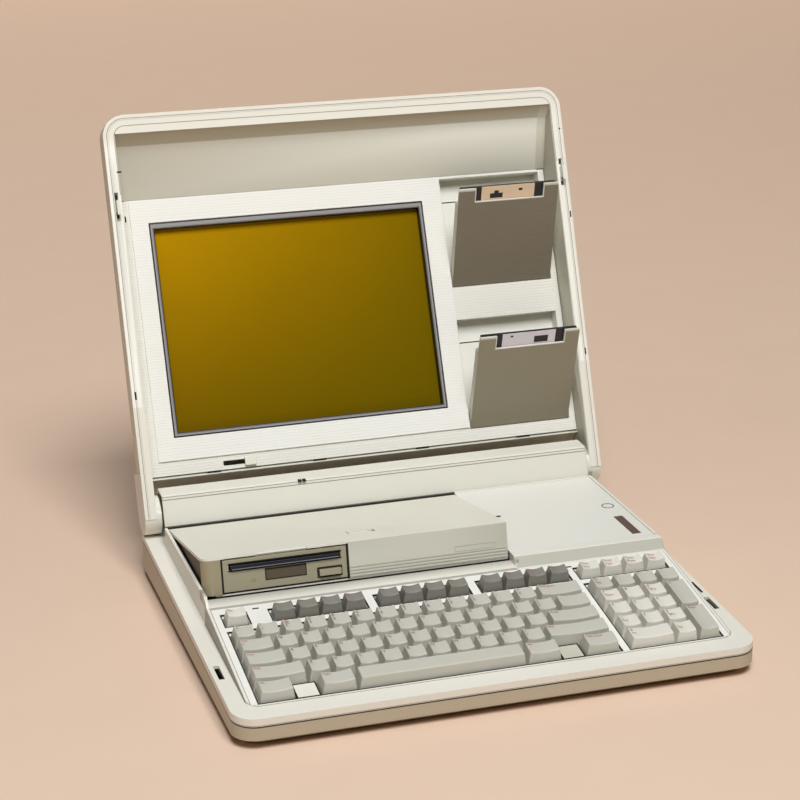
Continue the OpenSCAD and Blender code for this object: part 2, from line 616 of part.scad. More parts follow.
// A well, drawn t larger for its walls, with a deeper finger recess at its top
module well_box(y, t) {
    box([pocket_x0 - 0.6 - t, y - 2.4 - t, -well_depth - t],
        [pocket_x0 + pocket_w + 0.6 + t, y - 2.4 + well_l + t, t > 0 ? 0 : 5]);
    box([pocket_x0 - 0.6 - t, y - 2.4 + well_l - recess_l - t, -recess_depth - t],
        [pocket_x0 + pocket_w + 0.6 + t, y - 2.4 + well_l + t, t > 0 ? 0 : 5]);
}
module display_panel() color([0.93, 0.93, 0.9]) on_panel() difference() {
    box([-panel_x, panel_y0, -wall_t], [panel_x, panel_y1, 0]);
    for (y = [pocket_ya, pocket_yb]) well_box(y, 0);
    box([screen_x0 - trim_l - 0.4, screen_y0 - trim_l - 0.4, -20],
        [screen_x0 + screen_w + trim_l + 0.4, screen_y0 + screen_h + trim_top + 0.4, 20]);
    box([slot_x0, slot_y0, -20], [slot_x0 + 29, slot_y0 + 4, 20]);
}

bezel_t = 1.6;
// The tubs behind the panel that the closed disk pockets lie in
module pocket_tubs() color([0.93, 0.93, 0.9]) on_panel() for (y = [pocket_ya, pocket_yb]) difference() {
    intersection() {
        well_box(y, well_t);
        box([-big, -big, -big], [big, big, -wall_t]);
    }
    well_box(y, 0);
    translate([0, y + pivot_y, pivot_z]) rotate([0, 90, 0]) cylinder(h = big / 2, r = pocket_pin_r + 0.02);
}

module screen_bezel() color([0.93, 0.93, 0.9]) on_panel() difference() {
    box([bezel_x[0], 0.4, 0], [bezel_x[1], panel_y1, bezel_t]);
    box([screen_x0 - trim_l - 0.4, screen_y0 - trim_l - 0.4, -20],
        [screen_x0 + screen_w + trim_l + 0.4, screen_y0 + screen_h + trim_top + 0.4, 20]);
}

trim_d = 5;
module screen_trim() color([0.55, 0.55, 0.6]) on_panel() difference() {
    box([screen_x0 - trim_l, screen_y0 - trim_l, -trim_d],
        [screen_x0 + screen_w + trim_l, screen_y0 + screen_h + trim_top, bezel_t - 0.4]);
    box([screen_x0, screen_y0, -20], [screen_x0 + screen_w, screen_y0 + screen_h, 20]);
}

glass_lap = 2;
module screen_glass() color([0.5, 0.42, 0.05]) on_panel()
    box([screen_x0 - glass_lap, screen_y0 - glass_lap, -trim_d - 2],
        [screen_x0 + screen_w + glass_lap, screen_y0 + screen_h + glass_lap, -trim_d]);

module_z = -trim_d - 2;
module display_module() color([0.6, 0.6, 0.62]) on_panel()
    box([screen_x0 - 8, screen_y0 - 8, module_z - 9],
        [screen_x0 + screen_w + 8, screen_y0 + screen_h + 10, module_z]);

module display_board() color([0.1, 0.35, 0.2]) on_panel() {
    box([screen_x0, screen_y0 + 8, module_z - 14],
        [screen_x0 + screen_w - 10, screen_y0 + 70, module_z - 12.4]);
    for (x = [10, screen_w - 30], y = [16, 60]) translate([screen_x0 + x, screen_y0 + y, module_z - 12.4])
        cylinder(h = 3.4, r = 3);
}

slider_travel = 18;
module contrast_slider() color([0.9, 0.9, 0.87]) on_panel() {
    box([slot_x0 + 29 - 10.4, slot_y0 - 2, 0.2], [slot_x0 + 29 - 0.4, slot_y0 + 6, 3]);
    box([slot_x0 + 29 - 9, slot_y0 + 0.4, -5], [slot_x0 + 29 - 2, slot_y0 + 3.6, 0.2]);
}

module lid_latch(k) on_lid() {
    box([k * latch_x - latch_t / 2, latch_s - latch_l / 2, -6], [k * latch_x + latch_t / 2,
        latch_s + latch_l / 2, 6]);
    box([k * latch_x - latch_t / 2, latch_s - latch_l / 2 - 2.4, 3.6], [k * latch_x + latch_t / 2,
        latch_s - latch_l / 2, 6]);
    box([k * latch_x - latch_t / 2, latch_s - latch_l / 2 - 3, -6],
        [k * latch_x + latch_t / 2, latch_s + latch_l / 2 + 2, -rim_d0 - rim_t - 0.4]);
}
module lid_latch_left() color([0.85, 0.84, 0.8]) lid_latch(-1);
module lid_latch_right() color([0.85, 0.84, 0.8]) lid_latch(1);

pocket_pin_r = 1.5;
pocket_pin_l = 3.6;
pivot_y = 3.4;
pivot_z = -4;
module in_pocket(y, a) {
    on_panel() translate([pocket_x0, y + pivot_y, pivot_z]) rotate([a, 0, 0])
        translate([0, -pivot_y, -pivot_z]) children();
}

pocket_floor = 1.6;
pocket_side = 1.7;
module pocket(y, a) in_pocket(y, a) difference() {
    box([0, 0, -pocket_t], [pocket_w, pocket_l, 0]);
    box([pocket_side, pocket_floor, -6.4], [pocket_w - pocket_side, pocket_l + 5, -1.8]);
    box([-1, pocket_l - 13, -pocket_t - 1], [pocket_w + 1, pocket_l + 5, -1.8]);
    box([pocket_w * 0.17, pocket_l - 11, -4], [pocket_w * 0.85, pocket_l + 5, 5]);
    translate([-1, pivot_y, pivot_z]) rotate([0, 90, 0])
        cylinder(h = pocket_w + 2, r = pocket_pin_r + pin_play);
}
module upper_pocket() color([0.78, 0.77, 0.72]) pocket(pocket_ya, pocket_open_a);
module lower_pocket() color([0.78, 0.77, 0.72]) pocket(pocket_yb, pocket_open_b);

module pocket_pins() color([0.6, 0.6, 0.62]) on_panel()
    for (y = [pocket_ya, pocket_yb], x = [pocket_x0 - 2, pocket_x0 + pocket_w + 2 - pocket_pin_l])
        translate([x, y + pivot_y, pivot_z]) rotate([0, 90, 0]) cylinder(h = pocket_pin_l, r = pocket_pin_r);

module diskette() {
    difference() {
        box([2, pocket_floor + 0.2, -5.7], [2 + disk_w, pocket_floor + 0.2 + disk_l, -5.7 + disk_t]);
        translate([2 + disk_w / 2, pocket_floor + 30, -5.7]) cylinder(h = 1.2, r = 13, center = true);
    }
}
module upper_diskette() color([0.07, 0.07, 0.1]) in_pocket(pocket_ya, pocket_open_a) diskette();
module lower_diskette() color([0.07, 0.07, 0.1]) in_pocket(pocket_yb, pocket_open_b) diskette();

// Keys

cap_gap = 0.45;
side_in = 2;
front_in = 1.4;
back_in = 3.2;
skirt_z = -4;
module keycap(x, y, w, d) {
    x0 = x + cap_gap;
    x1 = x + w - cap_gap;
    y0 = y + cap_gap;
    y1 = y + d - cap_gap;
    polyhedron([[x0, y0, skirt_z], [x1, y0, skirt_z], [x1, y1, skirt_z], [x0, y1, skirt_z],
        [x0 + side_in, y0 + front_in, key_h], [x1 - side_in, y0 + front_in, key_h],
        [x1 - side_in, y1 - back_in, key_h + 0.8], [x0 + side_in, y1 - back_in, key_h + 0.8]],
        [[0, 1, 2, 3], [4, 7, 6, 5], [0, 4, 5, 1], [1, 5, 6, 2], [2, 6, 7, 3], [3, 7, 4, 0]]);
    translate([(x0 + x1) / 2 - 2.6, (y0 + y1) / 2 - 2.6, stem_z]) cube([5.2, 5.2, skirt_z - stem_z + 1]);
}

stem_z = -10.2;
// A run of keys: widths in key pitches from x0, on a row at y with depth d
module keys(x0, y, widths, d = 1) {
    for (i = [0:len(widths) - 1]) if (widths[i] > 0) {
        before = [for (j = [0:1:i - 1]) abs(widths[j])];
        keycap((x0 + sum(before)) * key_u, y * key_u, widths[i] * key_u, d * key_u);
    }
}
function sum(v, i = 0) = i < len(v) ? v[i] + sum(v, i + 1) : 0;
function ones(n) = [for (i = [1:n]) 1];
f_y = 5.52;
f_d = 0.81;
pad_u = pad_x / key_u;
key_dark = [0.51, 0.51, 0.49];
key_light = [0.78, 0.78, 0.74];
key_white = [0.94, 0.93, 0.91];

module escape_key() color(key_white) on_keys() keys(0, f_y, [1], f_d);
module function_keys_left() color(key_dark) on_keys() keys(2, f_y, ones(4), f_d);
module function_keys_middle() color(key_dark) on_keys() keys(6.5, f_y, ones(4), f_d);
module function_keys_right() color(key_dark) on_keys() keys(11, f_y, ones(4), f_d);
module number_row_keys() color(key_light) on_keys() keys(0, 4, concat(ones(13), [2]));
module upper_row_keys() color(key_light) on_keys() keys(0, 3, concat([1.5], ones(12), [1.5]));
module home_row_keys() color(key_light) on_keys() keys(0, 2, concat([1.75], ones(11), [2.25]));
module lower_row_keys() color(key_light) on_keys() keys(0, 1, concat([2.25], ones(10), [2.75]));
module bottom_row_keys() color(key_light) on_keys() keys(0, 0, [1.5, -1, 1.5, -7, 1.5, -1, 1.5]);
module space_bar() color(key_light) on_keys() keys(4, 0, [7]);
module keypad_top_keys() color(key_white) on_keys() keys(pad_u, f_y, ones(4), f_d);
module keypad_gray_keys() color(key_light) on_keys() {
    keys(pad_u, 4, ones(4));
    for (y = [0, 2]) keys(pad_u + 3, y, [1], 2);
}
module keypad_number_keys() color(key_white) on_keys() {
    for (y = [1:3]) keys(pad_u, y, ones(3));
    keys(pad_u, 0, [2, 1]);
}
module key_fillers() color([0.84, 0.84, 0.8]) on_keys() for (x = [1.5, 12.5])
    box([x * key_u + cap_gap, cap_gap - 0.3, plate_z], [(x + 1) * key_u - cap_gap, key_u - cap_gap, -1]);

bottom_case();
top_case();
keyboard_panel();
deck_cover();
status_window();
hinge_cover();
hinge_pins();
rubber_feet();
rear_panel();
handle_brackets();
main_board();
power_supply();
battery_pack();
hard_disk();
key_switch_plate();
rear_connectors();
power_button();
carry_handle();
pod_cover();
pod_tray();
floppy_drive();
drive_bezel();
eject_button();
drive_lamp();
drive_diskette();
pod_latch();
pod_pins();
lid_shell();
lid_frame();
display_panel();
pocket_tubs();
screen_bezel();
screen_trim();
screen_glass();
display_module();
display_board();
contrast_slider();
lid_latch_left();
lid_latch_right();
upper_pocket();
lower_pocket();
pocket_pins();
upper_diskette();
lower_diskette();
key_fillers();
escape_key();
function_keys_left();
function_keys_middle();
function_keys_right();
number_row_keys();
upper_row_keys();
home_row_keys();
lower_row_keys();
bottom_row_keys();
space_bar();
keypad_top_keys();
keypad_gray_keys();
keypad_number_keys();
case_screws();
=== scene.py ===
import json
import math

import bmesh
import bpy
from mathutils import Matrix, Vector


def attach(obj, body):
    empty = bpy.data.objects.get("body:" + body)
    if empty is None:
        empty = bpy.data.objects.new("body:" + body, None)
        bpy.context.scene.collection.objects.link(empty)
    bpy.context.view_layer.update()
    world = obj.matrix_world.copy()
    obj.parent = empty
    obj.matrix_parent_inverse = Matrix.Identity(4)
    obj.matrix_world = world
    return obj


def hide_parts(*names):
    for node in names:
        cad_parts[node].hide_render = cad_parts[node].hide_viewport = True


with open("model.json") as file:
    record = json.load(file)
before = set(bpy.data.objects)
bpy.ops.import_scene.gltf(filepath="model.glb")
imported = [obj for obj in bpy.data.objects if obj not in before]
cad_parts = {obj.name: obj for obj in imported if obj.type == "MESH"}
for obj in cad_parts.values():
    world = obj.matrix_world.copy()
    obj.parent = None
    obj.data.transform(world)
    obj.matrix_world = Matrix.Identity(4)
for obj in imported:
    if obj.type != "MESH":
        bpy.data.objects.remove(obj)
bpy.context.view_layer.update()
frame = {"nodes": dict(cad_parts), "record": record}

scene = bpy.context.scene
bodyOfNode = {node: body for body, nodes in frame["record"]["behaviour"]["bodies"].items() for node in nodes}
print("frame loaded,", len(frame["nodes"]), "nodes")


# Places, in millimetres: each plane is the matrix from a drawing plane to the scene
caseSize = {"frontY": -247.465, "frontHeight": 25.5, "rake": 2.4, "deckHeight": 22.6, "deckFront": 162.0}
hingeSize = {"y": 342.3, "z": 17.1, "fromRear": 25.7, "lean": 22.7}
keySize = {"pitch": 19.05, "front": 22.0, "lift": 0.5, "tilt": 6.5, "gap": 8.3, "height": 8.6, "skirt": -4.0,
           "unitsAcross": 19, "mainUnits": 15, "unitsDeep": 7}
panelSize = {"bottom": 69.0, "depth": 24.0, "tilt": 2.56}


def moved(x, y, z):
    return Matrix.Translation((x, y, z))


def turnedX(degrees):
    return Matrix.Rotation(math.radians(degrees), 4, "X")


rimPlane = moved(0, caseSize["frontY"], caseSize["frontHeight"] * math.cos(math.radians(caseSize["rake"])))
rimPlane = rimPlane @ turnedX(caseSize["rake"])
lidPlane = rimPlane @ moved(0, hingeSize["y"], hingeSize["z"]) @ turnedX(90 - hingeSize["lean"])
lidPlane = lidPlane @ moved(0, -hingeSize["fromRear"], hingeSize["z"])
panelPlane = lidPlane @ moved(0, panelSize["bottom"], -panelSize["depth"]) @ turnedX(-panelSize["tilt"])
keyWidth = keySize["unitsAcross"] * keySize["pitch"] + keySize["gap"]
keyPlane = rimPlane @ moved(-keyWidth / 2, keySize["front"], keySize["lift"]) @ turnedX(keySize["tilt"])
ledgeY = keySize["front"] + keySize["unitsDeep"] * keySize["pitch"] * math.cos(math.radians(keySize["tilt"]))


def deckTop(y):
    return caseSize["deckHeight"] - (y - caseSize["deckFront"]) * math.tan(math.radians(caseSize["rake"]))


podSize = {"pinBack": 36, "pinZ": 11.0, "open": 10.5, "setback": 22}
podPinY = hingeSize["y"] - podSize["pinBack"]
podFront = ledgeY + podSize["setback"]
podPlane = rimPlane @ moved(0, podPinY, podSize["pinZ"]) @ turnedX(-podSize["open"])
podPlane = podPlane @ moved(0, podFront - podPinY, deckTop(podFront) - podSize["pinZ"])
podPlane = podPlane @ turnedX(-caseSize["rake"])
pocketSize = {"left": 97.6, "upper": 130.2, "lower": 1.5, "upperOpen": 34.5, "lowerOpen": 38.5, "pinY": 3.4,
              "pinZ": -4.0, "width": 94.0, "step": 76.0}


def pocketPlane(bottom, opened):
    return (panelPlane @ moved(pocketSize["left"], bottom + pocketSize["pinY"], pocketSize["pinZ"])
            @ turnedX(opened) @ moved(0, -pocketSize["pinY"], -pocketSize["pinZ"]))


upperPocketPlane = pocketPlane(pocketSize["upper"], pocketSize["upperOpen"])
lowerPocketPlane = pocketPlane(pocketSize["lower"], pocketSize["lowerOpen"])


# Materials
class Signal:
    def __init__(self, look, socket):
        self.look = look
        self.socket = socket

    def out(self, name):
        return Signal(self.look, self.socket.node.outputs[name])

    def __add__(self, other):
        return self.look.math("ADD", self, other)

    def __radd__(self, other):
        return self.look.math("ADD", other, self)

    def __sub__(self, other):
        return self.look.math("SUBTRACT", self, other)

    def __rsub__(self, other):
        return self.look.math("SUBTRACT", other, self)

    def __mul__(self, other):
        return self.look.math("MULTIPLY", self, other)

    def __rmul__(self, other):
        return self.look.math("MULTIPLY", other, self)

    def __truediv__(self, other):
        return self.look.math("DIVIDE", self, other)

    def __gt__(self, other):
        return self.look.math("GREATER_THAN", self, other)

    def __lt__(self, other):
        return self.look.math("LESS_THAN", self, other)

    def __mod__(self, other):
        return self.look.math("FLOORED_MODULO", self, other)

    def __pow__(self, other):
        return self.look.math("POWER", self, other)

    def __abs__(self):
        return self.look.math("ABSOLUTE", self, 0.0)


class Look:
    def __init__(self, name, slot):
        self.slot = slot
        self.material = bpy.data.materials.new(name)
        self.material.use_nodes = True
        self.tree = self.material.node_tree
        self.tree.nodes.clear()
        self.shader = self.tree.nodes.new("ShaderNodeBsdfPrincipled")
        self.output = self.tree.nodes.new("ShaderNodeOutputMaterial")
        self.tree.links.new(self.shader.outputs[0], self.output.inputs["Surface"])

    def node(self, kind, settings=None, inputs=None):
        made = self.tree.nodes.new(kind)
        for key, value in (settings or {}).items():
            setattr(made, key, value)
        for key, value in (inputs or {}).items():
            if isinstance(value, Signal):
                self.tree.links.new(value.socket, made.inputs[key])
            else:
                made.inputs[key].default_value = value
        return Signal(self, next(o for o in made.outputs if o.enabled))

    def math(self, operation, first, second):
        return self.node("ShaderNodeMath", {"operation": operation}, {0: first, 1: second})

    def place(self, plane=None):
        # Object coordinates in millimetres, turned into a drawing plane where one is given
        where = self.node("ShaderNodeTexCoord").out("Object")
        plane = plane or Matrix.Identity(4)
        spot, turn, _ = (Matrix.Scale(0.001, 4) @ plane).decompose()
        where = self.node("ShaderNodeMapping", {"vector_type": "TEXTURE"},
                          {"Vector": where, "Location": spot, "Rotation": turn.to_euler(), "Scale": (0.001,) * 3})
        return where

    def axis(self, where, name):
        return self.node("ShaderNodeSeparateXYZ", None, {0: where}).out(name)

    def larger(self, first, second):
        return self.math("MAXIMUM", first, second)

    def smaller(self, first, second):
        return self.math("MINIMUM", first, second)

    def inset(self, where, low, high, radius):
        # How far a point lies inside a rectangle with rounded corners
        reach = [abs(self.axis(where, n) - (a + b) / 2) - ((b - a) / 2 - radius) for n, a, b in zip("XY", low, high)]
        corner = (self.larger(reach[0], 0.0) ** 2.0 + self.larger(reach[1], 0.0) ** 2.0) ** 0.5
        return radius - corner - self.smaller(self.larger(reach[0], reach[1]), 0.0)

    def line(self, value, middle, width):
        return abs(value - middle) < width / 2

    def span(self, value, low, high):
        return (value > low) * (value < high)

    def noise(self, where, size, detail=2.0, rough=0.5):
        return self.node("ShaderNodeTexNoise", None,
                         {"Vector": where, "Scale": 1.0 / size, "Detail": detail, "Roughness": rough})

    def blend(self, amount, first, second):
        return self.node("ShaderNodeMix", {"data_type": "RGBA"}, {0: amount, 6: first, 7: second})

    def set(self, **values):
        for key, value in values.items():
            key = {"baseColor": "Base Color", "roughness": "Roughness", "metallic": "Metallic", "normal": "Normal",
                   "specular": "Specular IOR Level", "emission": "Emission Color",
                   "emissionStrength": "Emission Strength"}[key]
            if isinstance(value, Signal):
                self.tree.links.new(value.socket, self.shader.inputs[key])
            else:
                self.shader.inputs[key].default_value = value
        return self

    def bump(self, height, distance):
        return self.node("ShaderNodeBump", None, {"Height": height, "Distance": distance, "Strength": 1.0})


def paint(red, green, blue):
    channels = [c / 255 for c in (red, green, blue)]
    return tuple(c / 12.92 if c <= 0.04045 else ((c + 0.055) / 1.055) ** 2.4 for c in channels) + (1.0,)


def darker(color, share):
    return tuple(c * share for c in color[:3]) + (1.0,)


plasticGrain = {"cloud": 60, "cloudTone": 0.05, "speck": 2.5, "speckLimit": 0.66, "speckShare": 0.25, "speckTone": 0.86,
                "fine": 0.35, "fineHeight": 0.06, "ribGrooveShade": 0.6, "roughSpread": 0.12, "bump": 0.001}


def mouldedPlastic(name, slot, color, roughness=0.42, aged=0.5, ribs=None, marks=None):
    # marks gives (mask, colour, groove) for each line or patch drawn on the moulding
    size = plasticGrain
    look = Look(name, slot)
    where = look.place()
    cloud = look.noise(where, size["cloud"], 3)
    speck = look.noise(where, size["speck"], 4, 0.6)
    fine = look.noise(where, size["fine"], 2, 0.6)
    tone = look.blend(cloud, darker(color, 1 - size["cloudTone"] * aged), color)
    speckles = (speck > size["speckLimit"]) * (size["speckShare"] * aged)
    tone = look.blend(speckles, tone, darker(color, size["speckTone"]))
    height = fine * size["fineHeight"]
    if ribs:
        spot = look.place(ribs["plane"])
        wave = (look.axis(spot, "Y") % ribs["pitch"]) / ribs["pitch"] > ribs["share"]
        if "face" in ribs:
            wave = look.larger(wave, look.axis(spot, "Z") < ribs["face"])
        # The grooves between the ribs are painted darker, as painted shade
        tone = look.blend((1 - wave) * ribs["shade"], tone, darker(color, size["ribGrooveShade"]))
        height = height + wave * ribs["depth"]
    for mask, ink, groove in (marks(look) if marks else ()):
        tone = look.blend(mask, tone, ink)
        if groove:
            height = height - mask * groove
    look.set(baseColor=tone, roughness=roughness + (cloud - 0.5) * size["roughSpread"], specular=0.42,
             normal=look.bump(height, size["bump"]))
    return look


def plainMetal(name, slot, color, roughness=0.35):
    look = Look(name, slot)
    where = look.place()
    brushed = look.noise(where, 0.8, 3, 0.7)
    look.set(baseColor=look.blend(brushed, darker(color, 0.85), color), metallic=1.0,
             roughness=roughness + (brushed - 0.5) * 0.2, normal=look.bump(brushed, 0.00001))
    return look


# shade is how strongly the grooves between ribs are painted darker, as painted shade
ribStyle = {"pitch": 2.54, "share": 0.34, "depth": 0.09, "shade": 0.1}
seamInk = paint(62, 56, 46)
softInk = paint(158, 153, 138)
lidRect = {"low": (-208.3, -120.0), "high": (208.3, 368.0), "radius": 19.0}
keyLip = {"low": (-194.5, 18.6), "high": (194.5, 400.0), "radius": 10.0}
driveSize = {"left": -175.1, "right": -73.5, "foot": -30.0, "slot": -9.0}
ridgeSize = {"crest": 328.0}


# Lines and patches drawn on the mouldings, as (mask, colour, groove)
lowerCaseLine = {"seamZ": -7.3}


def lowerCaseMarks(look):
    height = look.axis(look.place(rimPlane), "Z")
    return [(height > lowerCaseLine["seamZ"], seamInk, 0.0)]


upperCaseLines = {"lipWidth": 0.8, "flatZ": -2.0, "front": 160.0, "deckEdge": (169.9, 0.9), "deckZ": 17.0,
                  "seam": (-5.7, 0.5), "seamInset": -8.0, "step": (154.0, 161.6), "ledgeZ": 14.5, "podSide": 64.5,
                  "shadeStart": 157.0, "shadeRun": 14.0, "shadeShare": 0.6, "shadeEnd": 177.0, "backY": 313.4,
                  "backZ": 8.0, "backX": 65.0}
# Painted shade on the top case: a darker step face beside the pod, and a painted shadow on the ledge before the pod
# front
upperCaseShadePaints = {"step": paint(182, 180, 167), "shade": paint(96, 92, 80)}


def upperCaseMarks(look):
    size = upperCaseLines
    where = look.place(rimPlane)
    x, y, z = (look.axis(where, n) for n in "XYZ")
    inset = look.inset(where, keyLip["low"], keyLip["high"], keyLip["radius"])
    lip = look.line(inset, 0.0, size["lipWidth"]) * (z > size["flatZ"]) * (y < size["front"])
    edge = look.line(y, *size["deckEdge"]) * (z > size["deckZ"])
    # The step face right of the pod is painted darker, as painted shade
    step = look.span(y, *size["step"]) * (z > size["ledgeZ"]) * (x > size["podSide"])
    # Painted shadow on the ledge under the pod, growing darker towards the pod front
    shade = look.smaller(look.larger((y - size["shadeStart"]) / size["shadeRun"], 0.0), 1.0) * size["shadeShare"]
    shade = shade * (y < size["shadeEnd"]) * (z > size["ledgeZ"]) * (x < size["podSide"])
    back = (y > size["backY"]) * (z > size["backZ"]) * (x < size["backX"])
    return [(step, upperCaseShadePaints["step"], 0.0), (shade, upperCaseShadePaints["shade"], 0.0), (lip, softInk, 0.4),
            (edge, softInk, 0.3), (look.line(z, *size["seam"]) * (inset < size["seamInset"]), softInk, 0.1),
            (back, seamInk, 0.0)]


keyboardLine = {"y": -1.6, "width": 0.5}


def keyboardMarks(look):
    height = look.axis(look.place(keyPlane), "Y")
    return [(look.line(height, keyboardLine["y"], keyboardLine["width"]), softInk, 0.2)]


lidLines = {"frontZ": -0.9, "outer": (3.1, 0.55), "rounded": (4.4, 0.5), "inner": (9.4, 0.6), "innerFrom": 300.0,
            "window": (342.5, 352.0), "windowZ": -1.2, "windowInset": 9.6, "slopeZ": -13.0, "slopeInset": 10.6,
            "sideX": 190.0, "sideZ": -2.5, "sideInset": 8.0}
# The window paint is a painted shadow under the top rim
lidPaints = {"rounded": paint(214, 212, 200), "window": paint(178, 170, 148), "slope": paint(206, 204, 190),
             "side": paint(188, 184, 168)}


def lidFrameMarks(look):
    size = lidLines
    where = look.place(lidPlane)
    x, y, z = (look.axis(where, n) for n in "XYZ")
    inset = look.inset(where, lidRect["low"], lidRect["high"], lidRect["radius"])
    front = z > size["frontZ"]
    # Painted shadow: the wall under the top rim of the lid recess is painted dark
    window = (z < size["windowZ"]) * look.span(y, *size["window"]) * (inset > size["windowInset"])
    # The brand slope is painted a darker gray-green: partly the plate's own tone, partly painted shade on a face that
    # tilts away from the light
    slope = (z < size["slopeZ"]) * (y < size["window"][0]) * (inset > size["slopeInset"])
    side = (x > size["sideX"]) * (z < size["sideZ"]) * (inset > size["sideInset"])
    return [(look.line(inset, *size["outer"]) * front, softInk, 0.15),
            (look.line(inset, *size["rounded"]) * front, lidPaints["rounded"], 0.2),
            (look.line(inset, *size["inner"]) * front * (y > size["innerFrom"]), softInk, 0.2),
            (window, lidPaints["window"], 0.0), (slope, lidPaints["slope"], 0.0), (side, lidPaints["side"], 0.0)]


ridgeLines = {"lower": (36.2, 0.7), "upper": (38.4, 0.5)}


def ridgeMarks(look):
    where = look.place(rimPlane)
    height = look.axis(where, "Z")
    front = look.axis(where, "Y") < ridgeSize["crest"] + 1.0
    return [(look.line(height, *ridgeLines["lower"]) * front, softInk, 0.3),
            (look.line(height, *ridgeLines["upper"]) * front, softInk, 0.2)]


trimLines = {"outerMiddle": (-47.0, 114.25), "outerHalf": (124.5, 93.75), "outerWidth": 0.9,
             "innerMiddle": (-47.0, 113.5), "innerHalf": (120.5, 89.0), "innerEdge": 0.7, "innerLine": 1.6}
trimPaints = {"outer": paint(20, 19, 20), "inner": paint(16, 15, 10), "line": paint(108, 106, 106)}


def trimMarks(look):
    where = look.place(panelPlane)
    edges = {}
    for side in ("outer", "inner"):
        reach = [abs(look.axis(where, n) - middle) - half
                 for n, middle, half in zip("XY", trimLines[side + "Middle"], trimLines[side + "Half"])]
        edges[side] = look.larger(*reach)
    return [(edges["outer"] > -trimLines["outerWidth"], trimPaints["outer"], 0.0),
            (edges["inner"] < trimLines["innerEdge"], trimPaints["inner"], 0.0),
            (look.span(edges["inner"], trimLines["innerEdge"], trimLines["innerLine"]), trimPaints["line"], 0.0)]


podLines = {"stripGap": 1.6, "stripZ": -1.6, "stripEnd": 9.0, "faceY": 0.3, "faceZ": -0.5}
# The face paint darkens the pod front right of the drive, as painted shade
podPaints = {"strip": paint(160, 150, 124), "face": paint(196, 194, 180)}


def podMarks(look):
    where = look.place(podPlane)
    x, y, z = (look.axis(where, n) for n in "XYZ")
    strip = (x < driveSize["left"] - podLines["stripGap"]) * (z < podLines["stripZ"]) * (y < podLines["stripEnd"])
    # Pod front right of the drive, painted darker as painted shade
    face = (y < podLines["faceY"]) * (z < podLines["faceZ"]) * (x > driveSize["right"])
    return [(face, podPaints["face"], 0.0), (strip, podPaints["strip"], 0.0)]


caseShell = mouldedPlastic("case shell plastic", "case_shell", paint(184, 173, 150), marks=lowerCaseMarks)
lidShellLook = mouldedPlastic("lid shell plastic", "case_shell", paint(222, 217, 202))
caseTop = mouldedPlastic("case top plastic", "case_top", paint(232, 229, 218), marks=upperCaseMarks)
lidFrameLook = mouldedPlastic("lid frame plastic", "case_top", paint(230, 228, 216), marks=lidFrameMarks)
ridgeLook = mouldedPlastic("hinge cover plastic", "case_top", paint(226, 224, 212), marks=ridgeMarks)
panelPlastic = mouldedPlastic("panel plastic", "panel", paint(232, 231, 222))
keyboardLook = mouldedPlastic("keyboard panel plastic", "panel", paint(238, 237, 230), marks=keyboardMarks)
panelRibs = dict(ribStyle, plane=panelPlane)
lidPanelLook = mouldedPlastic("lid panel plastic", "panel", paint(232, 231, 222), ribs=panelRibs)
ribbedPlastic = mouldedPlastic("ribbed bezel plastic", "panel", paint(238, 238, 232), ribs=panelRibs)
podPlastic = mouldedPlastic("pod plastic", "panel", paint(228, 226, 213), marks=podMarks)
darkPlastic = mouldedPlastic("dark plastic", "dark_plastic", paint(40, 39, 37), 0.5)
blackLine = mouldedPlastic("black gap lining", "dark_plastic", paint(22, 20, 16), 0.7)
drivePlastic = mouldedPlastic("drive front plastic", "drive_plastic", paint(162, 156, 132), 0.45)
pocketFace = {"upper": paint(126, 119, 103), "lower": paint(144, 138, 118), "z": -0.2, "end": 93.6, "ribDepth": 0.12}


def pocketLook(which, plane, ribbed):
    def faceMarks(look):
        where = look.place(plane)
        front = (look.axis(where, "Z") > pocketFace["z"]) * (look.axis(where, "Y") < pocketFace["end"])
        return [(front, pocketFace[which], 0.0)]
    ribs = dict(ribStyle, plane=plane, face=pocketFace["z"], depth=pocketFace["ribDepth"]) if ribbed else None
    return mouldedPlastic(which + " pocket face", "pocket", paint(206, 204, 190), 0.5, ribs=ribs, marks=faceMarks)


upperRibs = pocketLook("upper", upperPocketPlane, True)
lowerRibs = pocketLook("lower", lowerPocketPlane, False)
keyWhite = mouldedPlastic("white keycap plastic", "key_white", paint(221, 218, 207), 0.4, aged=0.8)
keyLight = mouldedPlastic("light gray keycap plastic", "key_light", paint(196, 194, 182), 0.4, aged=0.8)
keyDark = mouldedPlastic("dark gray keycap plastic", "key_dark", paint(134, 131, 122), 0.4, aged=0.8)
darkInk = mouldedPlastic("dark legend ink", "key_light", paint(70, 62, 62), 0.5)
redInk = mouldedPlastic("red legend ink", "key_light", paint(176, 62, 62), 0.5)
diskPlastic = mouldedPlastic("diskette plastic", "disk_black", paint(30, 31, 38), 0.34)
shutterWarm = mouldedPlastic("diskette label, warm", "disk_black", paint(224, 200, 172), 0.4)
shutterCool = mouldedPlastic("diskette label, cool", "disk_black", paint(218, 215, 222), 0.4)
diskEdgeLook = mouldedPlastic("diskette edge", "disk_black", paint(128, 134, 150), 0.3)
lampLook = mouldedPlastic("drive lamp lens", "drive_plastic", paint(150, 156, 120), 0.25)
statusLook = mouldedPlastic("status window", "dark_plastic", paint(104, 88, 78), 0.35)
labelBrown = mouldedPlastic("drive label", "drive_plastic", paint(92, 82, 68), 0.4)
rubberLook = mouldedPlastic("foot rubber", "rubber", paint(40, 40, 40), 0.75)
boardLook = mouldedPlastic("board lacquer", "board", paint(28, 88, 52), 0.3)
chassisLook = mouldedPlastic("painted chassis sheet", "chassis", paint(74, 62, 50), 0.55)
steelLook = plainMetal("plated steel", "steel", paint(178, 178, 180))
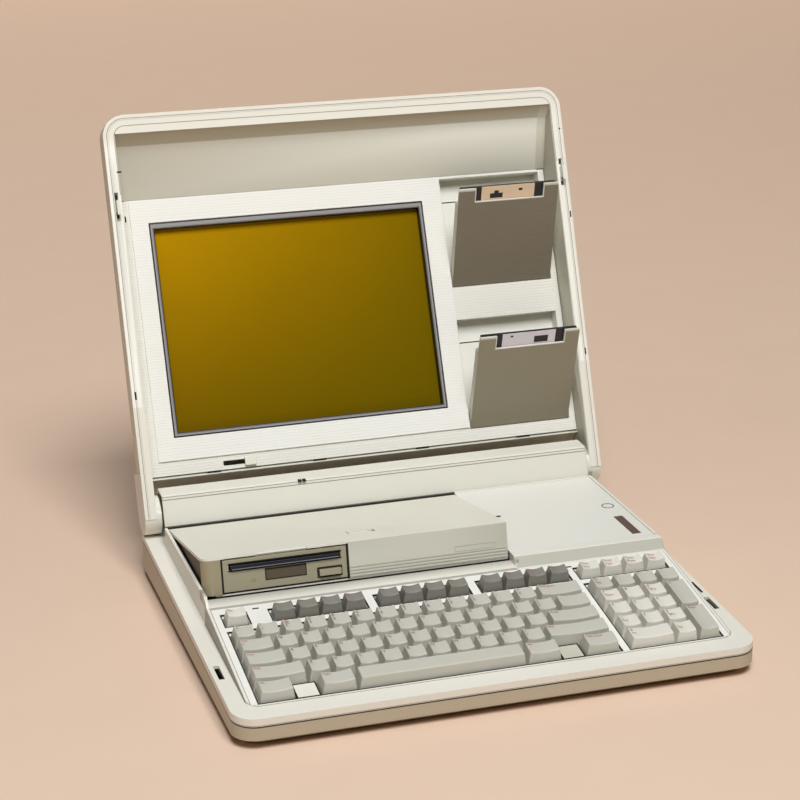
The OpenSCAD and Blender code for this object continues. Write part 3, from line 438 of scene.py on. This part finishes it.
trimLook = mouldedPlastic("screen trim plastic", "screen_trim", paint(146, 144, 144), 0.35, marks=trimMarks)
print("materials ready")


# Bmesh helpers, all in millimetres
def sharpEdges(shape, degrees):
    limit = math.radians(degrees)
    return [e for e in shape.edges if len(e.link_faces) == 2 and e.calc_face_angle(0) > limit]


def bevelEdges(shape, edges, offset, segments=2):
    return bmesh.ops.bevel(shape, geom=edges, offset=offset, offset_type="OFFSET", segments=segments, profile=0.5,
                           affect="EDGES", clamp_overlap=True, material=-1)


def addBlock(shape, low, high, edge=0.0, segments=2):
    made = bmesh.ops.create_cube(shape, size=1)["verts"]
    bmesh.ops.scale(shape, vec=Vector(high) - Vector(low), verts=made)
    bmesh.ops.translate(shape, vec=(Vector(high) + Vector(low)) / 2, verts=made)
    if edge:
        bevelEdges(shape, list({e for v in made for e in v.link_edges}), edge, segments)
    return made


def camelName(node, tail):
    first, *rest = node.split("_")
    return first + "".join(word.capitalize() for word in rest) + tail


def finishPiece(shape, name, plane, body, look, replaced=(), smooth=32):
    mesh = bpy.data.meshes.new(name)
    shape.to_mesh(mesh)
    shape.free()
    mesh.transform(Matrix.Scale(0.001, 4) @ plane)
    mesh.materials.append(look.material)
    mesh.shade_smooth()
    mesh.set_sharp_from_angle(angle=math.radians(smooth))
    piece = bpy.data.objects.new(name, mesh)
    scene.collection.objects.link(piece)
    evened = piece.modifiers.new("even shading", "WEIGHTED_NORMAL")  # flat faces stay flat beside their rounded edges
    evened.keep_sharp = True
    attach(piece, body)
    if replaced:
        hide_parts(*replaced)
    return piece


dressSetup = {"merge": 0.01, "flat": 0.6, "sharp": 30, "smooth": 26}


def dressNode(node, look, edge, segments):
    # A merged copy of a CAD node with its edges rounded stands for the node
    shape = bmesh.new()
    shape.from_mesh(frame["nodes"][node].data)
    bmesh.ops.scale(shape, vec=(1000, 1000, 1000), verts=shape.verts)
    bmesh.ops.remove_doubles(shape, verts=shape.verts, dist=dressSetup["merge"])
    bmesh.ops.dissolve_limit(shape, angle_limit=math.radians(dressSetup["flat"]), verts=shape.verts,
                             edges=shape.edges, use_dissolve_boundaries=False)
    if edge:
        bevelEdges(shape, sharpEdges(shape, dressSetup["sharp"]), edge, segments)
    return finishPiece(shape, camelName(node, "Dressed"), Matrix.Identity(4), bodyOfNode[node], look, (node,),
                       dressSetup["smooth"])


# Each node's look, the radius of its edges in millimetres and their segments
dressed = {
    "bottom_case": (caseShell, 0.9, 3), "top_case": (caseTop, 0.7, 3), "keyboard_panel": (keyboardLook, 0.5, 2),
    "deck_cover": (panelPlastic, 0.4, 2), "hinge_cover": (ridgeLook, 1.6, 3), "rear_connectors": (darkPlastic, 0.3, 2),
    "power_button": (darkPlastic, 0.6, 2), "carry_handle": (darkPlastic, 0.5, 2), "pod_cover": (podPlastic, 0.5, 2),
    "pod_tray": (chassisLook, 0, 2), "drive_bezel": (drivePlastic, 0.3, 2), "eject_button": (drivePlastic, 0.4, 2),
    "pod_latch": (podPlastic, 0.4, 2), "lid_shell": (lidShellLook, 0.8, 3), "lid_frame": (lidFrameLook, 0.6, 2),
    "display_panel": (lidPanelLook, 0.5, 2), "screen_bezel": (ribbedPlastic, 0.4, 2), "screen_trim": (trimLook, 0.3, 2),
    "contrast_slider": (podPlastic, 1.2, 3), "lid_latch_left": (panelPlastic, 0.3, 2),
    "lid_latch_right": (panelPlastic, 0.3, 2), "upper_pocket": (upperRibs, 0.3, 2), "lower_pocket": (lowerRibs, 0.3, 2),
    "upper_diskette": (diskPlastic, 0.3, 2), "lower_diskette": (diskPlastic, 0.3, 2),
    "drive_diskette": (diskPlastic, 0.3, 2), "key_fillers": (podPlastic, 0.4, 2), "rubber_feet": (rubberLook, 0.5, 2),
    "rear_panel": (caseShell, 0.4, 2), "handle_brackets": (caseShell, 0.4, 2), "pocket_tubs": (panelPlastic, 0.3, 2)}
for node, (look, edge, segments) in dressed.items():
    dressNode(node, look, edge, segments)
print("case, lid, pod and pockets dressed")


# Keycaps
capShape = {"gap": 0.9, "sideTaper": 2.0, "frontTaper": 1.4, "backTaper": 3.2, "rise": 0.8, "dish": 1.5, "columns": 6,
            "edge": 1.1, "segments": 3, "sharp": 35}


def addKeycap(shape, x, y, width, depth, dish=None):
    cap = bmesh.new()
    low = Vector((x + capShape["gap"] / 2, y + capShape["gap"] / 2, keySize["skirt"]))
    high = Vector((x + width - capShape["gap"] / 2, y + depth - capShape["gap"] / 2, keySize["height"]))
    made = addBlock(cap, low, high)
    across = [e for e in cap.edges if abs(e.verts[0].co.x - e.verts[1].co.x) > 1]
    bmesh.ops.subdivide_edges(cap, edges=across, cuts=capShape["columns"] - 1)
    middle = (low.x + high.x) / 2
    half = (high.x - low.x) / 2
    topHalf = half - capShape["sideTaper"]
    dishDepth = capShape["dish"] if dish is None else dish
    for v in cap.verts:
        if v.co.z > 0:
            v.co.x = middle + (v.co.x - middle) * topHalf / half
            share = (v.co.x - middle) / topHalf
            front = v.co.y < (low.y + high.y) / 2
            v.co.y += capShape["frontTaper"] if front else -capShape["backTaper"]
            v.co.z += (0 if front else capShape["rise"]) - dishDepth * (1 - share * share)
    outline = [e for e in sharpEdges(cap, capShape["sharp"]) if max(v.co.z for v in e.verts) > 0]
    bevelEdges(cap, outline, capShape["edge"], capShape["segments"])
    bmesh.ops.recalc_face_normals(cap, faces=cap.faces)
    mesh = bpy.data.meshes.new("cap")
    cap.to_mesh(mesh)
    cap.free()
    shape.from_mesh(mesh)
    bpy.data.meshes.remove(mesh)


def rowOfKeys(start, y, widths, depth=1.0):
    x = start
    for width in widths:
        if width > 0:
            yield x, y, width, depth
        x += abs(width)


padStart = keySize["mainUnits"] + keySize["gap"] / keySize["pitch"]
topRow = {"y": 5.52, "depth": 0.81}
keyRows = {
    "escape_key": (keyWhite, [(0, topRow["y"], [1], topRow["depth"])]),
    "function_keys_left": (keyDark, [(2, topRow["y"], [1] * 4, topRow["depth"])]),
    "function_keys_middle": (keyDark, [(6.5, topRow["y"], [1] * 4, topRow["depth"])]),
    "function_keys_right": (keyDark, [(11, topRow["y"], [1] * 4, topRow["depth"])]),
    "number_row_keys": (keyLight, [(0, 4, [1] * 13 + [2], 1)]),
    "upper_row_keys": (keyLight, [(0, 3, [1.5] + [1] * 12 + [1.5], 1)]),
    "home_row_keys": (keyLight, [(0, 2, [1.75] + [1] * 11 + [2.25], 1)]),
    "lower_row_keys": (keyLight, [(0, 1, [2.25] + [1] * 10 + [2.75], 1)]),
    "bottom_row_keys": (keyLight, [(0, 0, [1.5, -1, 1.5, -7, 1.5, -1, 1.5], 1)]),
    "space_bar": (keyLight, [(4, 0, [7], 1)]),
    "keypad_top_keys": (keyWhite, [(padStart, topRow["y"], [1] * 4, topRow["depth"])]),
    "keypad_gray_keys": (keyLight, [(padStart, 4, [1] * 4, 1), (padStart + 3, 0, [1], 2), (padStart + 3, 2, [1], 2)]),
    "keypad_number_keys": (keyWhite, [(padStart, 3, [1] * 3, 1), (padStart, 2, [1] * 3, 1), (padStart, 1, [1] * 3, 1),
                                      (padStart, 0, [2, 1], 1)])}
for node, (look, rows) in keyRows.items():
    shape = bmesh.new()
    for row in rows:
        for x, y, width, depth in rowOfKeys(*row):
            pitch = keySize["pitch"]
            addKeycap(shape, x * pitch, y * pitch, width * pitch, depth * pitch, 0.0 if node == "space_bar" else None)
    finishPiece(shape, camelName(node, "Caps"), keyPlane, bodyOfNode[node], look, (node,))
print("keycaps made")


# Legends, flat letters laid on the hollow of each cap
legendSize = {"main": 4.3, "word": 3.2, "side": 0.7, "top": 1.3, "line": 4.4, "proud": 0.22}
legendRows = {
    "escape_key": ["*Esc"],
    "function_keys_left": ["*F1", "*F2", "*F3", "*F4"],
    "function_keys_middle": ["*F5", "*F6", "*F7", "*F8"],
    "function_keys_right": ["*F9", "*F10", "*F11", "*F12"],
    "number_row_keys": ["~|`", "*!|1", "*@|2", "*#|3", "*$|4", "*%|5", "*^|6", "*&|7", "**|8", "*(|9", "*)|0", "*_|-",
                        "*+|=", "*Backspace"],
    "upper_row_keys": ["*Tab|*", "Q", "W", "E", "R", "T", "Y", "U", "I", "O", "P", "{|[", "}|]", ""],
    "home_row_keys": ["*Ctrl", "A", "S", "D", "F", "G", "H", "J", "K", "L", ":|;", "\"|'", "*Enter"],
    "lower_row_keys": ["*Shift", "Z", "X", "C", "V", "B", "N", "M", "<|,", ">|.", "?|/", "*Shift"],
    "bottom_row_keys": ["*Alt", "*Caps", "*Alt", "*Caps Lock"],
    "keypad_top_keys": ["*Print|*Scrn", "*Scroll|*Lock", "*Pause|*Break", "*Num|*Lock"],
    "keypad_gray_keys": ["*Sys|*Req", "/", "*", "-", "*Enter", "+"],
    "keypad_number_keys": ["7|*Home", "8", "9|*PgUp", "4", "5", "6", "1|*End", "2", "3|*PgDn", "0|*Ins", ".|*Del"]}


def letterMesh(text, size):
    curve = bpy.data.curves.new("legend", "FONT")
    curve.body = text
    curve.size = size
    curve.align_y = "TOP"
    curve.resolution_u = 2
    holder = bpy.data.objects.new("legend", curve)
    scene.collection.objects.link(holder)
    graph = bpy.context.evaluated_depsgraph_get()
    mesh = bpy.data.meshes.new_from_object(holder.evaluated_get(graph))
    bpy.data.objects.remove(holder)
    bpy.data.curves.remove(curve)
    return mesh


def addLegend(shapes, text, x, y, width, depth):
    taper = capShape["sideTaper"] + capShape["gap"] / 2
    left = x + taper + legendSize["side"]
    back = y + depth - capShape["gap"] / 2 - capShape["backTaper"]
    front = y + capShape["gap"] / 2 + capShape["frontTaper"]
    middle = x + width / 2
    half = width / 2 - taper
    for row, word in enumerate(text.split("|")[:2]):
        red = word.startswith("*") and len(word) > 1
        word = word[1:] if red else word
        if not word:
            continue
        mesh = letterMesh(word, legendSize["main"] if len(word) == 1 else legendSize["word"])
        for v in mesh.vertices:
            v.co.x += left
            v.co.y += back - legendSize["top"] - row * legendSize["line"]
            share = (v.co.x - middle) / half
            rise = capShape["rise"] * (v.co.y - front) / (back - front)
            v.co.z = keySize["height"] + rise - capShape["dish"] * (1 - share * share) + legendSize["proud"]
        shapes["red" if red else "dark"].from_mesh(mesh)
        bpy.data.meshes.remove(mesh)


for node, words in legendRows.items():
    spots = [spot for row in keyRows[node][1] for spot in rowOfKeys(*row)]
    shapes = {"red": bmesh.new(), "dark": bmesh.new()}
    for word, spot in zip(words, spots, strict=True):
        addLegend(shapes, word, *(v * keySize["pitch"] for v in spot))
    for color, look in (("red", redInk), ("dark", darkInk)):
        if len(shapes[color].verts):
            name = camelName(node, color.capitalize() + "Legends")
            finishPiece(shapes[color], name, keyPlane, bodyOfNode[node], look)
        else:
            shapes[color].free()
print("legends laid")


def addBlocks(name, plane, body, look, blocks, edge=0.0):
    shape = bmesh.new()
    for low, high in blocks:
        addBlock(shape, low, high, edge)
    return finishPiece(shape, name, plane, body, look)


def addFrame(name, plane, body, look, low, high, width, bottom, top):
    shape = bmesh.new()
    for a, b in (((low[0], low[1]), (high[0], low[1] + width)), ((low[0], high[1] - width), (high[0], high[1])),
                 ((low[0], low[1] + width), (low[0] + width, high[1] - width)),
                 ((high[0] - width, low[1] + width), (high[0], high[1] - width))):
        addBlock(shape, (a[0], a[1], bottom), (b[0], b[1], top))
    return finishPiece(shape, name, plane, body, look)


# Drive pod front
podFace = podPlane @ turnedX(90)
left, right, foot, slot = (driveSize[k] for k in ("left", "right", "foot", "slot"))
surroundSize = {"front": -0.12, "back": 1.0}
surroundStrips = [((left - 1.6, foot + 0.2), (left - 0.1, -1.6)), ((right + 0.2, foot + 0.2), (right + 1.9, -1.3)),
                  ((left, foot + 0.5), (right, foot + 1.6))]
addBlocks("driveSurround", podPlane, "drive_pod", blackLine, [
    ((low[0], surroundSize["front"], low[1]), (high[0], surroundSize["back"], high[1])) for low, high in surroundStrips])

slotFrame = {"side": 4.2, "front": 0.02, "back": 0.6, "near": 2.4, "far": 3.4}
addBlocks("driveSlotFrame", podPlane, "drive_pod", blackLine, [
    ((left + slotFrame["side"], slotFrame["front"], slot + low),
     (right - slotFrame["side"], slotFrame["back"], slot + high))
    for low, high in ((slotFrame["near"], slotFrame["far"]), (-slotFrame["far"], -slotFrame["near"]))])

frameDepth = {"bottom": -0.3, "top": 0.02}
driveFrames = {"driveLabelFrame": ((34, -22.6), (68, -13.4), 0.7), "ejectFrame": ((76.6, -26.2), (97.4, -17.8), 1.0)}
for name, (low, high, width) in driveFrames.items():
    addFrame(name, podFace, "drive_pod", blackLine, (left + low[0], low[1]), (left + high[0], high[1]), width,
             frameDepth["bottom"], frameDepth["top"])

faceSize = {"left": right + 2.4, "right": 63.2, "ribPitch": 2.55, "ribs": 4, "proud": 0.45, "ribFoot": 0.9,
            "ribTop": 2.3, "ribBack": 0.5}
ribFeet = [foot + row * faceSize["ribPitch"] for row in range(faceSize["ribs"])]
addBlocks("podFaceRibs", podPlane, "drive_pod", podPlastic, [
    ((faceSize["left"], -faceSize["proud"], z + faceSize["ribFoot"]),
     (faceSize["right"], faceSize["ribBack"], z + faceSize["ribTop"])) for z in ribFeet], 0.2)

faceMark = {"low": (18.0, -19.6), "high": (54.0, -15.0), "width": 0.5, "bottom": -0.2, "top": 0.25}
addFrame("podFaceMark", podFace, "drive_pod", podPlastic, *faceMark.values())

diskEdge = {"side": 7, "front": -2.3, "back": -1.9, "foot": slot - 1.62, "top": slot - 1.0}
addBlocks("diskLabelEdge", podPlane, "loaded_disk", diskEdgeLook, [
    ((left + diskEdge["side"], diskEdge["front"], diskEdge["foot"]),
     (right - diskEdge["side"], diskEdge["back"], diskEdge["top"]))])

driveLabel = {"low": (left + 34.6, 0.3, -22.2), "high": (left + 67.4, 1.3, -13.8)}
addBlocks("driveLabel", podPlane, "drive_pod", labelBrown, [(driveLabel["low"], driveLabel["high"])])

footLip = {"side": 7.0, "front": 0.25, "back": 2.3, "foot": foot - 1.1, "top": foot + 0.1}
addBlocks("podFootLip", podPlane, "drive_pod", podPlastic, [
    ((left - footLip["side"], footLip["front"], footLip["foot"]), (faceSize["right"], footLip["back"], footLip["top"]))])

# Diskettes in the pockets: labels with their cut-outs
labelSize = {"left": 22.0, "right": 72.0, "foot": 70.0, "top": 95.9, "face": -2.4, "sunk": 0.2, "proud": 0.15,
             "cutProud": 0.25}
labelCuts = {"upper": [(30, 84.5, 34, 89), (34, 84.5, 38, 91.5), (38, 84.5, 42, 89), (57, 90, 60.5, 92.2)],
             "lower": [(52, 84.5, 65, 91.0), (29.5, 92, 32, 93.6)]}
for name, plane, body, look in (("upper", upperPocketPlane, "disk_upper", shutterWarm),
                                ("lower", lowerPocketPlane, "disk_lower", shutterCool)):
    face = labelSize["face"]
    addBlocks(name + "DisketteLabel", plane, body, look, [
        ((labelSize["left"], labelSize["foot"], face - labelSize["sunk"]),
         (labelSize["right"], labelSize["top"], face + labelSize["proud"]))], 0.1)
    addBlocks(name + "DisketteMarks", plane, body, diskPlastic, [
        ((a, b, face), (c, d, face + labelSize["cutProud"])) for a, b, c, d in labelCuts[name]])

# Painted highlights as light strips along the pocket notch edges, and the raised sides of the notches
notchSize = {"left": 16.0, "right": 79.9, "foot": 83.0, "top": 94.0, "horn": 1.6, "width": 0.75, "lap": 0.05,
             "outerLeft": 0.3, "outerRight": 93.7, "back": -1.7, "edgeFront": 0.12, "hornFront": -0.05}
for name, plane, body, look in (("upper", upperPocketPlane, "pocket_upper", upperRibs),
                                ("lower", lowerPocketPlane, "pocket_lower", lowerRibs)):
    left, right, foot, width, lap = (notchSize[k] for k in ("left", "right", "foot", "width", "lap"))
    hornTop, back, front = notchSize["top"] + notchSize["horn"], notchSize["back"], notchSize["edgeFront"]
    addBlocks(name + "NotchHighlight", plane, body, keyWhite, [
        ((left - width, foot - width, back), (right + width, foot + lap, front)),
        ((left - width, foot, back), (left + lap, hornTop, front)),
        ((right - lap, foot, back), (right + width, hornTop, front)),
        ((notchSize["outerLeft"], hornTop - width, back), (left, hornTop + 0.06, front)),
        ((right, hornTop - width, back), (notchSize["outerRight"], hornTop + 0.06, front))])
    addBlocks(name + "PocketHorns", plane, body, look, [
        ((low, notchSize["top"] - 0.4, back), (high, hornTop, notchSize["hornFront"]))
        for low, high in ((notchSize["outerLeft"], left), (right, notchSize["outerRight"]))])

# Black strip at the step inside each pocket well, a painted shadow line
stepSize = {"reach": 0.5, "depth": 1.0, "back": -10.2, "front": -9.66}
stepLeft = pocketSize["left"] - stepSize["reach"]
stepRight = pocketSize["left"] + pocketSize["width"] + stepSize["reach"]
stepFeet = [pocketSize[name] + pocketSize["step"] for name in ("upper", "lower")]
addBlocks("wellStepShadows", panelPlane, "lid", blackLine, [
    ((stepLeft, y, stepSize["back"]), (stepRight, y + stepSize["depth"], stepSize["front"])) for y in stepFeet])

# Dark gaps round the groups of keys and round the two fillers, in key pitches
gapSize = {"reach": 1.35, "width": 0.95, "bottom": -1.0, "top": 0.08}
keyGroups = {"main": (0, 0, 15, 5.05), "escape": (0, 5.5, 1, 0.85), "functionLeft": (2, 5.5, 4, 0.85),
             "functionMiddle": (6.5, 5.5, 4, 0.85), "functionRight": (11, 5.5, 4, 0.85),
             "keypad": (padStart, 0, 4, 5.05), "keypadTop": (padStart, 5.5, 4, 0.85)}
pitch, reach = keySize["pitch"], gapSize["reach"]
for name, (x, y, width, depth) in keyGroups.items():
    addFrame(name + "KeyGap", keyPlane, "case", blackLine, (x * pitch - reach, y * pitch - reach),
             ((x + width) * pitch + reach, (y + depth) * pitch + reach), gapSize["width"], gapSize["bottom"],
             gapSize["top"])

fillerGap = {"left": 1.5, "right": 12.5, "inset": 0.2, "width": 1.2, "bottom": -2.0, "top": -0.94}
for name in ("left", "right"):
    x, inset = fillerGap[name], fillerGap["inset"]
    addFrame(name + "FillerGap", keyPlane, "case", blackLine, (x * pitch + inset, inset),
             ((x + 1) * pitch - inset, pitch - inset), fillerGap["width"], fillerGap["bottom"], fillerGap["top"])

# Small slots, marks and dark notches: each one is a low corner, a high corner, and the depths that they share
armEdge = 0.15
smallParts = {
    "lidRimNotches": (lidPlane, "lid", blackLine, (-1.2, -0.42), [
        ((-197.5, 276.0), (-196.3, 281.0)), ((-205.8, 124.7), (-204.2, 131.5)), ((204.4, 328.6), (206.0, 329.8)),
        ((206.0, 248.3), (207.2, 254.0)), ((205.2, 123.8), (206.4, 129.5)), ((-199.8, 318.6), (-196.0, 320.0))]),
    "lidLatchWells": (lidPlane, "lid", blackLine, (-1.2, -0.44), [
        ((-203.8, 280.0), (-201.6, 300.0)), ((202.4, 284.0), (203.8, 294.0))]),
    "lidArmFaces": (lidPlane, "lid", lidFrameLook, (-1.4, -0.32), [
        ((-208.1, 22.0), (-198.5, 118.0)), ((198.5, 22.0), (208.1, 118.0))]),
    "panelTopSeam": (panelPlane, "lid", lidPanelLook, (-1.6, -0.45), [((-191.0, 228.2), (191.0, 229.7))]),
    "lidVents": (panelPlane, "lid", blackLine, (-0.8, 0.05), [
        ((left, -13.2), (right, -11.8)) for left, right in ((-146, -134), (-51, -39), (44, 56), (139, 152))]),
    "keyboardLampWindows": (keyPlane, "case", blackLine, (-1.0, 0.06), [
        ((25.6, 124.2), (30.8, 126.0)), ((288.0, 123.6), (293.2, 125.3))]),
    "caseRimSlots": (rimPlane, "case", blackLine, (-0.8, 0.05), [((202.4, 97.5), (204.6, 118.0))]),
    "deckCatchNotch": (rimPlane, "case", blackLine, (16.0, deckTop(247.6) + 0.08), [((80.0, 247.6), (84.0, 250.2))]),
    "ridgeSockets": (rimPlane, "case", blackLine, (39.4, 40.05), [
        ((-74.0, 325.0), (-70.9, 329.3)), ((-70.1, 325.0), (-67.0, 329.3))])}
for name, (plane, body, look, (bottom, top), spots) in smallParts.items():
    addBlocks(name, plane, body, look, [((*low, bottom), (*high, top)) for low, high in spots],
              armEdge if name == "lidArmFaces" else 0.0)

# Plain ring on the deck
badgeSize = {"x": 180.0, "y": 242.0, "outer": 5.4, "inner": 4.6, "sides": 40, "sunk": 0.1, "height": 0.25}
ringShape = bmesh.new()
loops = [bmesh.ops.create_circle(ringShape, segments=badgeSize["sides"], radius=radius)["verts"]
         for radius in (badgeSize["outer"], badgeSize["inner"])]
bmesh.ops.bridge_loops(ringShape, edges=list({e for loop in loops for v in loop for e in v.link_edges}))
grown = bmesh.ops.extrude_face_region(ringShape, geom=ringShape.faces[:])["geom"]
lifted = [g for g in grown if isinstance(g, bmesh.types.BMVert)]
bmesh.ops.translate(ringShape, vec=(0, 0, badgeSize["height"]), verts=lifted)
bmesh.ops.recalc_face_normals(ringShape, faces=ringShape.faces)
badgePlane = rimPlane @ moved(badgeSize["x"], badgeSize["y"], deckTop(badgeSize["y"]) - badgeSize["sunk"])
badgePlane = badgePlane @ turnedX(-caseSize["rake"])
finishPiece(ringShape, "deckRing", badgePlane, "case", darkInk)
print("small parts added")


# Screen
screenSize = {"left": -167.5, "bottom": 24.5, "width": 241.0, "height": 178.0}
screenPaints = {"lowLeft": paint(114, 88, 0), "lowRight": paint(98, 82, 0), "highLeft": paint(186, 140, 0),
                "highRight": paint(126, 100, 0), "haze": paint(112, 92, 0)}
screenGrain = {"haze": 38, "hazeShare": 0.25, "grid": 0.5, "gridHeight": 0.02}
screenLook = Look("amber display", "screen")
where = screenLook.place(panelPlane)
rise = (screenLook.axis(where, "Y") - screenSize["bottom"]) / screenSize["height"]
across = (screenLook.axis(where, "X") - screenSize["left"]) / screenSize["width"]
lowTone = screenLook.blend(across, screenPaints["lowLeft"], screenPaints["lowRight"])
highTone = screenLook.blend(across, screenPaints["highLeft"], screenPaints["highRight"])
haze = screenLook.noise(where, screenGrain["haze"], 3)
screenTone = screenLook.blend(rise ** 1.2, lowTone, highTone)
screenTone = screenLook.blend(haze * screenGrain["hazeShare"], screenTone, screenPaints["haze"])
grid = screenLook.noise(where, screenGrain["grid"], 2)
screenLook.set(baseColor=screenTone, roughness=0.5 + (haze - 0.5) * 0.1, specular=0.02,
               normal=screenLook.bump(grid * screenGrain["gridHeight"], 0.001))
frame["nodes"]["screen_glass"].data.materials.clear()
frame["nodes"]["screen_glass"].data.materials.append(screenLook.material)
print("screen made")


# CAD nodes that stay as they are, mostly inside
keptNodes = {"hinge_pins": steelLook, "pod_pins": steelLook, "pocket_pins": steelLook, "case_screws": steelLook,
             "main_board": boardLook, "display_board": boardLook, "power_supply": steelLook,
             "battery_pack": darkPlastic, "hard_disk": steelLook, "floppy_drive": steelLook,
             "display_module": steelLook, "key_switch_plate": darkPlastic, "status_window": statusLook,
             "drive_lamp": lampLook}
for node, look in keptNodes.items():
    frame["nodes"][node].data.materials.clear()
    frame["nodes"][node].data.materials.append(look.material)


# Floor, light and camera
floorSize = {"half": 9.0, "farStart": 300.0, "farRun": 3600.0, "mottle": 90}
floorPaints = {"dark": paint(225, 198, 176), "light": paint(230, 203, 181), "unlit": paint(0, 0, 0),
               "glow": paint(182, 154, 132)}
floorMesh = bpy.data.meshes.new("floor")
floorShape = bmesh.new()
bmesh.ops.create_grid(floorShape, x_segments=1, y_segments=1, size=floorSize["half"])
floorShape.to_mesh(floorMesh)
floorShape.free()
floor = bpy.data.objects.new("floor", floorMesh)
scene.collection.objects.link(floor)
floorLook = Look("plain backdrop", "")
distance = floorLook.axis(floorLook.place(), "Y")
paths = floorLook.node("ShaderNodeLightPath")
mirrored = floorLook.larger(paths.out("Is Glossy Ray"), paths.out("Is Transmission Ray"))
seen = floorLook.larger(paths.out("Is Camera Ray"), mirrored)
far = floorLook.smaller(floorLook.larger((distance - floorSize["farStart"]) / floorSize["farRun"], 0.0), 1.0)
mottle = floorLook.noise(floorLook.place(), floorSize["mottle"], 3)
# The far floor glows a little for the camera only, so that it stays pale away from the lamps
floorLook.set(baseColor=floorLook.blend(mottle, floorPaints["dark"], floorPaints["light"]), roughness=0.9, specular=0.1,
              emission=floorLook.blend(far * seen, floorPaints["unlit"], floorPaints["glow"]), emissionStrength=1.0)
floorMesh.materials.append(floorLook.material)

lampSetup = {
    "mainSoftbox": {"spot": (-0.3, -2.55, 4.3), "aim": (0, 0.05, 0.15), "size": 2.3, "power": 246},
    "topPanel": {"spot": (0.1, 0.7, 2.6), "aim": (0, 0.2, 0.1), "size": 1.8, "power": 5}}
for name, setup in lampSetup.items():
    light = bpy.data.lights.new(name, "AREA")
    light.shape = "SQUARE"
    light.size = setup["size"]
    light.energy = setup["power"]
    lamp = bpy.data.objects.new(name, light)
    lamp.location = setup["spot"]
    lamp.rotation_euler = (Vector(setup["aim"]) - Vector(setup["spot"])).to_track_quat("-Z", "Y").to_euler()
    scene.collection.objects.link(lamp)

worldSetup = {"color": (1.0, 0.98, 0.95, 1.0), "strength": 0.06}
world = bpy.data.worlds.new("studio")
world.use_nodes = True
background = world.node_tree.nodes["Background"]
background.inputs["Color"].default_value = worldSetup["color"]
background.inputs["Strength"].default_value = worldSetup["strength"]
scene.world = world

viewPoint = {"spot": (-0.511682, -1.626575, 0.740855), "right": (0.953871, -0.300089, -0.008728),
             "up": (0.103331, 0.300877, 0.948048), "forward": (0.281873, 0.905218, -0.318006), "lens": 97.827,
             "sensor": 36.0, "reach": 50}
cameraData = bpy.data.cameras.new("camera")
cameraData.lens = viewPoint["lens"]
cameraData.sensor_width = viewPoint["sensor"]
cameraData.sensor_fit = "HORIZONTAL"
cameraData.clip_end = viewPoint["reach"]
camera = bpy.data.objects.new("camera", cameraData)
right, up, forward = (Vector(viewPoint[k]) for k in ("right", "up", "forward"))
turn = Matrix((right, up, -forward)).transposed()
camera.matrix_world = Matrix.Translation(viewPoint["spot"]) @ turn.to_4x4()
scene.collection.objects.link(camera)
scene.camera = camera
scene.view_settings.view_transform = "Standard"
print("floor, light and camera set")
